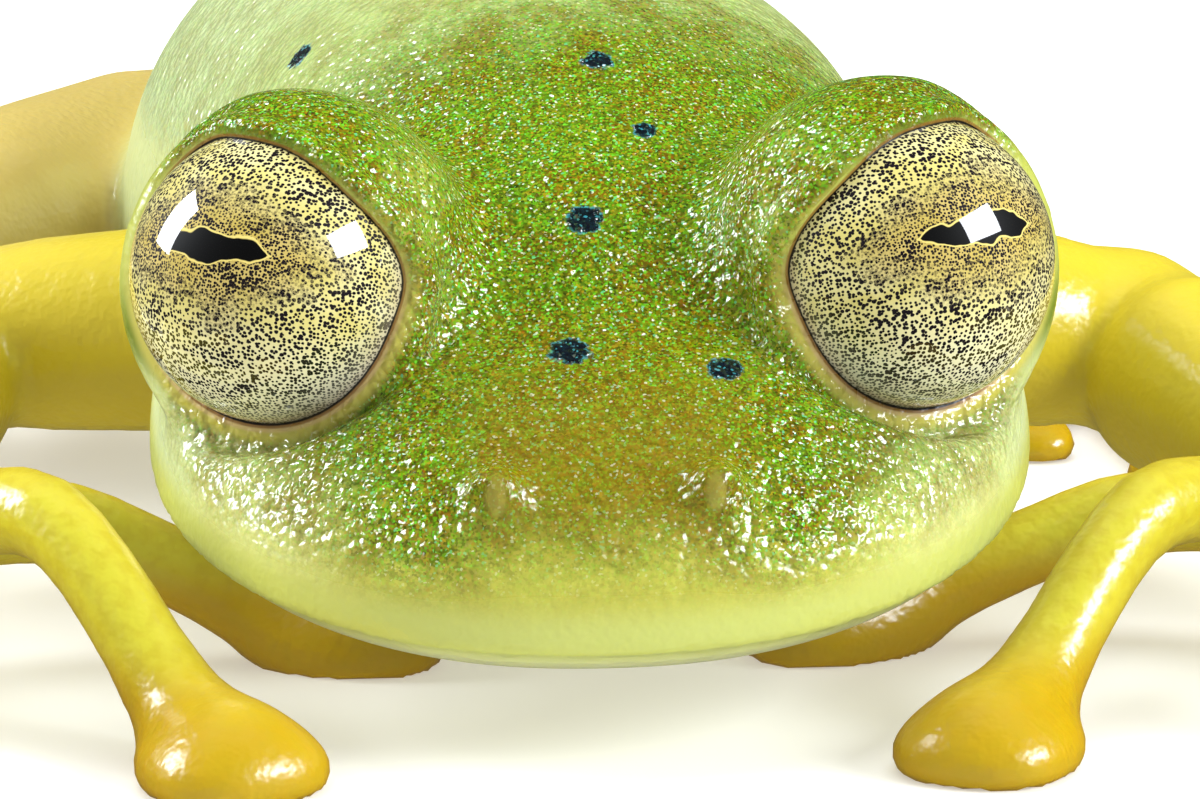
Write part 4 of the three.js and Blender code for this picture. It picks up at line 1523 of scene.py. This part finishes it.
        height = w.times(w.ramp(near, 0.8, 0.05), w.math("MULTIPLY_ADD", grain, 1.0, 0.05))
        height = w.math("ADD", height, w.times(wrinkle, w.math("MULTIPLY_ADD", grain, 1.5, 0.4)))
        height = w.math("MULTIPLY_ADD", ring, -0.1, height)
        height = w.math("MULTIPLY_ADD", core, 0.8, height)
        bump = w.node("Bump", None, Strength=1.0, Distance=self.depth, Height=height)
        shader = w.node(
            "BsdfPrincipled", None, Base_Color=tone, Normal=bump.outputs[0],
            Roughness=w.math("MULTIPLY_ADD", grain, -0.12, 0.28), Specular_IOR_Level=0.8,
            Subsurface_Weight=self.scattering, Subsurface_Radius=self.scatter_reach,
            Subsurface_Scale=self.scatter_scale,
        )
        w.node("OutputMaterial", None, Surface=shader.outputs[0])
        return made


@dataclass(frozen=True)
class EyeFinish:
    """A wet eye: a cream iris crowded with fine black dots and a wavy level pupil edged in gold, with a painted
    pale sheen at its edge.

    The dots are counted by the radian, and the pupil's half length and half height are in radians.
    """

    dots: float = 30.0
    fine_dots: float = 46.0
    pupil_length: float = 0.43
    pupil_height: float = 0.09
    streak: Point = (1.5, 4.2, 1.0)

    cream: Tone = (228, 214, 126)
    pale_cream: Tone = (238, 228, 160)
    low_cream: Tone = (250, 246, 206)
    gold: Tone = (196, 158, 44)
    rim: Tone = (214, 204, 190)
    # painted reflection: the pale sheen over the eye's edge
    edge: Tone = (250, 228, 130)
    speck: Tone = (20, 12, 20)
    pupil: Tone = (1, 1, 1)

    def material(self) -> bpy.types.Material:
        """Build the eye's material, laid out on the map of angles from the middle of the pupil.

        Returns:
            The material.
        """
        made, w = new_material("frog_eye")
        fleck = w.attribute("fleck", "Vector")
        along, up, lean = w.node("SeparateXYZ", None, Vector=w.attribute("angles", "Vector")).outputs

        wave = w.times(w.math("SUBTRACT", w.noise(fleck, 5.0, 1.5, True), 0.5), 0.12)
        reach = w.math("DIVIDE", along, self.pupil_length)
        lens = w.math("SUBTRACT", 1.0, w.times(reach, reach))
        inside = w.math("POWER", w.math("MAXIMUM", lens, 0.0), 0.65)
        bowed = w.times(w.math("ADD", inside, w.math("MINIMUM", lens, 0.0)), self.pupil_height)
        shifted = w.math("ADD", up, w.times(wave, w.ramp(lens, 0.0, 0.5)))
        gap = w.math("SUBTRACT", bowed, w.math("ABSOLUTE", shifted))

        stretched = w.vector("MULTIPLY", fleck, self.streak)
        streaks = w.noise(stretched, 2.6, 4.0, True, Roughness=0.62, Distortion=0.6)
        patches = w.noise(fleck, 3.2, 3.0, True)
        crowd = w.math("ADD", w.ramp(streaks, 0.46, 0.68, 0.0, 0.17), w.ramp(patches, 0.4, 0.7, 0.0, 0.06))
        coarse = dots(w, True, fleck, self.dots, w.math("ADD", crowd, 0.32), 0.2)
        fine = dots(w, True, fleck, self.fine_dots, w.math("ADD", crowd, 0.34), 0.25)
        near = w.ramp(w.math("ADD", gap, w.times(w.math("SUBTRACT", patches, 0.5), 0.5)), -0.5, -0.05)
        speckle = w.math("ADD", w.times(coarse, w.math("SUBTRACT", 1.0, near)), w.times(fine, near))
        # painted reflection: towards the edge turned from the camera the eye goes pale and its dots fade, as a
        # sheen of the bright room
        rim_sheen = w.ramp(lean, 1.15, 1.8)
        speckle = w.times(speckle, w.math("MULTIPLY_ADD", rim_sheen, -0.35, 1.0))

        tone = w.mix(w.ramp(patches, 0.35, 0.65), pigment(*self.cream), pigment(*self.pale_cream))
        tone = w.stained(tone, w.ramp(up, -0.3, -1.1), self.low_cream)
        tone = w.stained(tone, w.times(near, 0.6), self.gold)
        tone = w.stained(tone, rim_sheen, self.rim)
        tone = w.mix(speckle, tone, colour(*self.speck))
        tone = w.stained(tone, w.ramp(gap, -0.02, -0.012), self.edge)
        tone = w.mix(w.ramp(gap, -0.006, 0.001), tone, colour(*self.pupil))
        shader = w.node(
            "BsdfPrincipled", None, Base_Color=tone, Roughness=0.5, Specular_IOR_Level=0.1,
            Coat_Weight=1.0, Coat_Roughness=0.03, Coat_IOR=1.6,
        )
        w.node("OutputMaterial", None, Surface=shader.outputs[0])
        return made


@dataclass(frozen=True)
class Viewpoint:
    """The camera: its angles, its distance in mm, and the pixel of the photo that the lip lies on."""

    elevation: float = 12.0
    azimuth: float = -2.0
    roll: float = 0.95
    distance: float = 75.0
    scale: float = 85.8
    beyond: float = 2.0
    lip: Point = (0.0, 0.0, 1.4)
    lip_pixel: tuple[float, float] = (610.0, 655.0)
    size: tuple[int, int] = (1200, 799)
    sensor: float = 36.0
    clip: tuple[float, float] = (0.001, 20.0)

    def basis(self) -> tuple[Array, Array, Array]:
        """Give the camera's right, up and forward directions.

        Returns:
            Three unit vectors in the frog's frame.
        """
        e, a, r = (math.radians(v) for v in (self.elevation, self.azimuth, self.roll))
        forward = np.array([-math.sin(a) * math.cos(e), math.cos(a) * math.cos(e), -math.sin(e)])
        right = np.array([math.cos(a), math.sin(a), 0.0])
        up = np.cross(right, forward)
        right, up = right * math.cos(r) - up * math.sin(r), up * math.cos(r) + right * math.sin(r)
        return right, up, forward

    def position(self) -> Array:
        """Find where the camera stands, so that the lip lies on its pixel of the photo.

        Returns:
            The place in mm in the frog's frame.
        """
        right, up, forward = self.basis()
        across = (self.size[0] / 2 - self.lip_pixel[0]) / self.scale
        above = (self.lip_pixel[1] - self.size[1] / 2) / self.scale
        aim = np.array(self.lip) + right * across + up * above + forward * self.beyond
        return aim - forward * self.distance

    def build(self, shift: Array) -> None:
        """Make the camera and make it the scene's.

        Args:
            shift: where the frog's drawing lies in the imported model, in mm.
        """
        right, up, forward = self.basis()
        lens = bpy.data.cameras.new("camera")
        lens.sensor_width = self.sensor
        lens.lens = self.sensor * self.scale * self.distance / self.size[0]
        lens.clip_start, lens.clip_end = self.clip
        made = bpy.data.objects.new("camera", lens)
        place = (self.position() + shift) * MM
        rows = np.eye(4)
        rows[:3] = np.stack([right, up, -forward, place], axis=1)
        made.matrix_world = Matrix(rows.tolist())
        bpy.context.collection.objects.link(made)
        bpy.context.scene.camera = made


VIEW = Viewpoint()


@dataclass(frozen=True)
class Eye:
    """One eyeball with its gaze as the camera sees it, its pupil's tilt and where its pattern starts."""

    word: str
    pupil_across: float
    pupil_up: float
    tilt: float
    pattern: float
    rings: int = 72
    sides: int = 120

    def build(self, shift: Array, finish: bpy.types.Material) -> bpy.types.Object:
        """Make the eyeball as a sphere of latitude rings about its gaze.

        A ring at angle a from the gaze has radius sin a and stands cos a ahead of the centre.

        Args:
            shift: where the frog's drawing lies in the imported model, in mm.
            finish: the eye's material.

        Returns:
            The finished object.
        """
        right, up, forward = VIEW.basis()
        ahead = math.sqrt(1.0 - self.pupil_across**2 - self.pupil_up**2)
        gaze = right * self.pupil_across + up * self.pupil_up - forward * ahead
        lean = math.radians(self.tilt)
        across = right * math.cos(lean) + up * math.sin(lean)
        across = across - gaze * (across @ gaze)
        across /= np.linalg.norm(across)
        above = np.cross(gaze, across)
        rings, sides = self.rings, self.sides
        a = np.linspace(0.0, math.pi, rings + 1)[1:-1, None]
        t = np.arange(sides)[None, :] * (2.0 * math.pi / sides)
        local = np.stack([np.sin(a) * np.cos(t), np.sin(a) * np.sin(t), np.cos(a) + 0.0 * t], axis=2)
        local = np.vstack([[[0.0, 0.0, 1.0]], local.reshape(-1, 3), [[0.0, 0.0, -1.0]]])
        row = np.arange(rings - 2)[:, None] * sides + 1
        step = np.arange(sides)[None, :]
        following = (step + 1) % sides
        quads = np.stack([row + step, row + sides + step, row + sides + following, row + following], axis=2)
        quads = quads.reshape(-1, 4)
        last = len(local) - 1
        near = np.stack([np.zeros(sides, int), 1 + step[0], 1 + following[0]], axis=1)
        far = np.stack([np.full(sides, last), last - sides + following[0], last - sides + step[0]], axis=1)
        world = local @ np.stack([across, above, gaze])
        centre = EYE.middle(SIDES[self.word])
        mesh = bpy.data.meshes.new("eyeball_" + self.word)
        mesh.from_pydata(
            ((centre + world * EYE.radius + shift) * MM).tolist(), [],
            quads.tolist() + near.tolist() + far.tolist(),
        )
        mesh.shade_smooth()
        made = bpy.data.objects.new("eyeball_" + self.word, mesh)
        bpy.context.collection.objects.link(made)
        lean = np.arccos(np.clip(local[:, 2], -1.0, 1.0))
        spread = lean / np.maximum(np.hypot(local[:, 0], local[:, 1]), 1e-6)
        angles = np.stack([local[:, 0] * spread, local[:, 1] * spread, lean], axis=1)
        paint(made, "angles", angles)
        paint(made, "fleck", angles * [1.0, 1.0, 0.0] + [self.pattern, 0.0, 0.0])
        made.data.materials.append(finish)
        return made


EYES = (
    Eye("left", 0.45, 0.2, 12.5, 7.3),
    Eye("right", -0.43, 0.185, -12.0, 21.6),
)


@dataclass(frozen=True)
class Studio:
    """The floor's tones and glow, the even light of the room, and the colour of the lamps."""

    floor_reach: float = 1.5
    floor_dark: Tone = (204, 203, 199)
    floor_light: Tone = (210, 209, 206)
    floor_glow: tuple[float, float, float, float] = (1.0, 0.97, 0.9, 1.0)
    floor_glow_strength: float = 0.42
    seen: float = 1.0
    ambient: float = 0.65
    reflected: float = 0.07
    lamp: Point = (0.9, 0.95, 1.0)
    aim: Point = (0.0, 5.0, 3.0)


STUDIO = Studio()


def build_floor() -> bpy.types.Object:
    """Lay the pale floor.

    Returns:
        The floor's object.
    """
    corners = np.array([[-1, -1, 0], [1, -1, 0], [1, 1, 0], [-1, 1, 0]])
    floor = mesh_object("floor", corners * STUDIO.floor_reach, np.array([[0, 1, 2, 3]]))
    floor.visible_glossy = False
    made, w = new_material("pale_floor")
    grain = w.noise(w.node("TexCoord").outputs["Object"], 60.0, 2.0)
    shader = w.node(
        "BsdfPrincipled", None, Roughness=0.5, Emission_Color=STUDIO.floor_glow,
        Base_Color=w.mix(grain, colour(*STUDIO.floor_dark), colour(*STUDIO.floor_light)),
        Emission_Strength=STUDIO.floor_glow_strength,
    )
    w.node("OutputMaterial", None, Surface=shader.outputs[0])
    floor.data.materials.append(made)
    return floor


def build_world() -> None:
    """Fill the studio with even white light, dimmer on the frog than it looks to the camera."""
    world = bpy.data.worlds.new("studio")
    world.use_nodes = True
    w = Wiring(world.node_tree)
    path = w.node("LightPath").outputs
    lit = w.math("MULTIPLY_ADD", path["Is Camera Ray"], STUDIO.seen - STUDIO.ambient, STUDIO.ambient)
    lit = w.math("MULTIPLY_ADD", path["Is Glossy Ray"], STUDIO.reflected - STUDIO.ambient, lit)
    sky = w.node("Background", None, Color=(1.0, 1.0, 1.0, 1.0), Strength=lit)
    w.node("OutputWorld", None, Surface=sky.outputs[0])
    bpy.context.scene.world = world
    bpy.context.scene.view_settings.view_transform = "Standard"


@dataclass(frozen=True)
class Softbox:
    """A studio light given by the direction that it shines from, as the camera sees it."""

    name: str
    across: float
    up: float
    towards: float
    distance: float
    size: tuple[float, float]
    power: float
    mirrored: bool

    def build(self, shift: Array) -> None:
        """Hang the light and turn it to the frog's head.

        Args:
            shift: where the frog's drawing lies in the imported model, in mm.
        """
        right, up, forward = VIEW.basis()
        target = (np.array(STUDIO.aim) + shift) * MM
        out = right * self.across + up * self.up - forward * self.towards
        place = target + out / np.linalg.norm(out) * self.distance
        lamp = bpy.data.lights.new(self.name, "AREA")
        lamp.shape = "RECTANGLE"
        lamp.size, lamp.size_y = self.size
        lamp.energy = self.power
        lamp.color = STUDIO.lamp
        made = bpy.data.objects.new(self.name, lamp)
        bpy.context.collection.objects.link(made)
        made.rotation_euler = Vector(place - target).to_track_quat("Z", "Y").to_euler()
        made.location = place
        made.visible_glossy = self.mirrored


SOFTBOXES = (
    Softbox("softbox_left", -0.875, 0.468, -0.121, 0.25, (0.09, 0.135), 0.75, True),
    Softbox("softbox_right", 0.8, 0.405, 0.43, 0.25, (0.135, 0.08), 0.8, True),
    Softbox("softbox_top", 0.0, 1.0, -0.2, 0.35, (0.35, 0.35), 1.7, False),
)


def main() -> None:
    """Dress the frog, light it and write how large it came out."""
    logging.basicConfig(level=logging.INFO, format="%(name)s: %(message)s")
    low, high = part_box("eye_left")
    shift = (np.array(low) + np.array(high)) * 0.5 / MM - EYE.middle(1.0)
    LOG.info("shift %s mm", shift.round(4))
    VIEW.build(shift)
    skin = Skin(shift).build(SkinFinish())
    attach(skin, "root")
    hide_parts(*(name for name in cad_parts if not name.startswith("eye_")))
    eye_finish = EyeFinish().material()
    for eye in EYES:
        ball = eye.build(shift, eye_finish)
        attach(ball, "root")
        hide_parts("eye_" + eye.word)
        LOG.info("eye %s", eye.word)
    build_floor()
    build_world()
    for box in SOFTBOXES:
        box.build(shift)


if __name__ == "__main__":
    main()
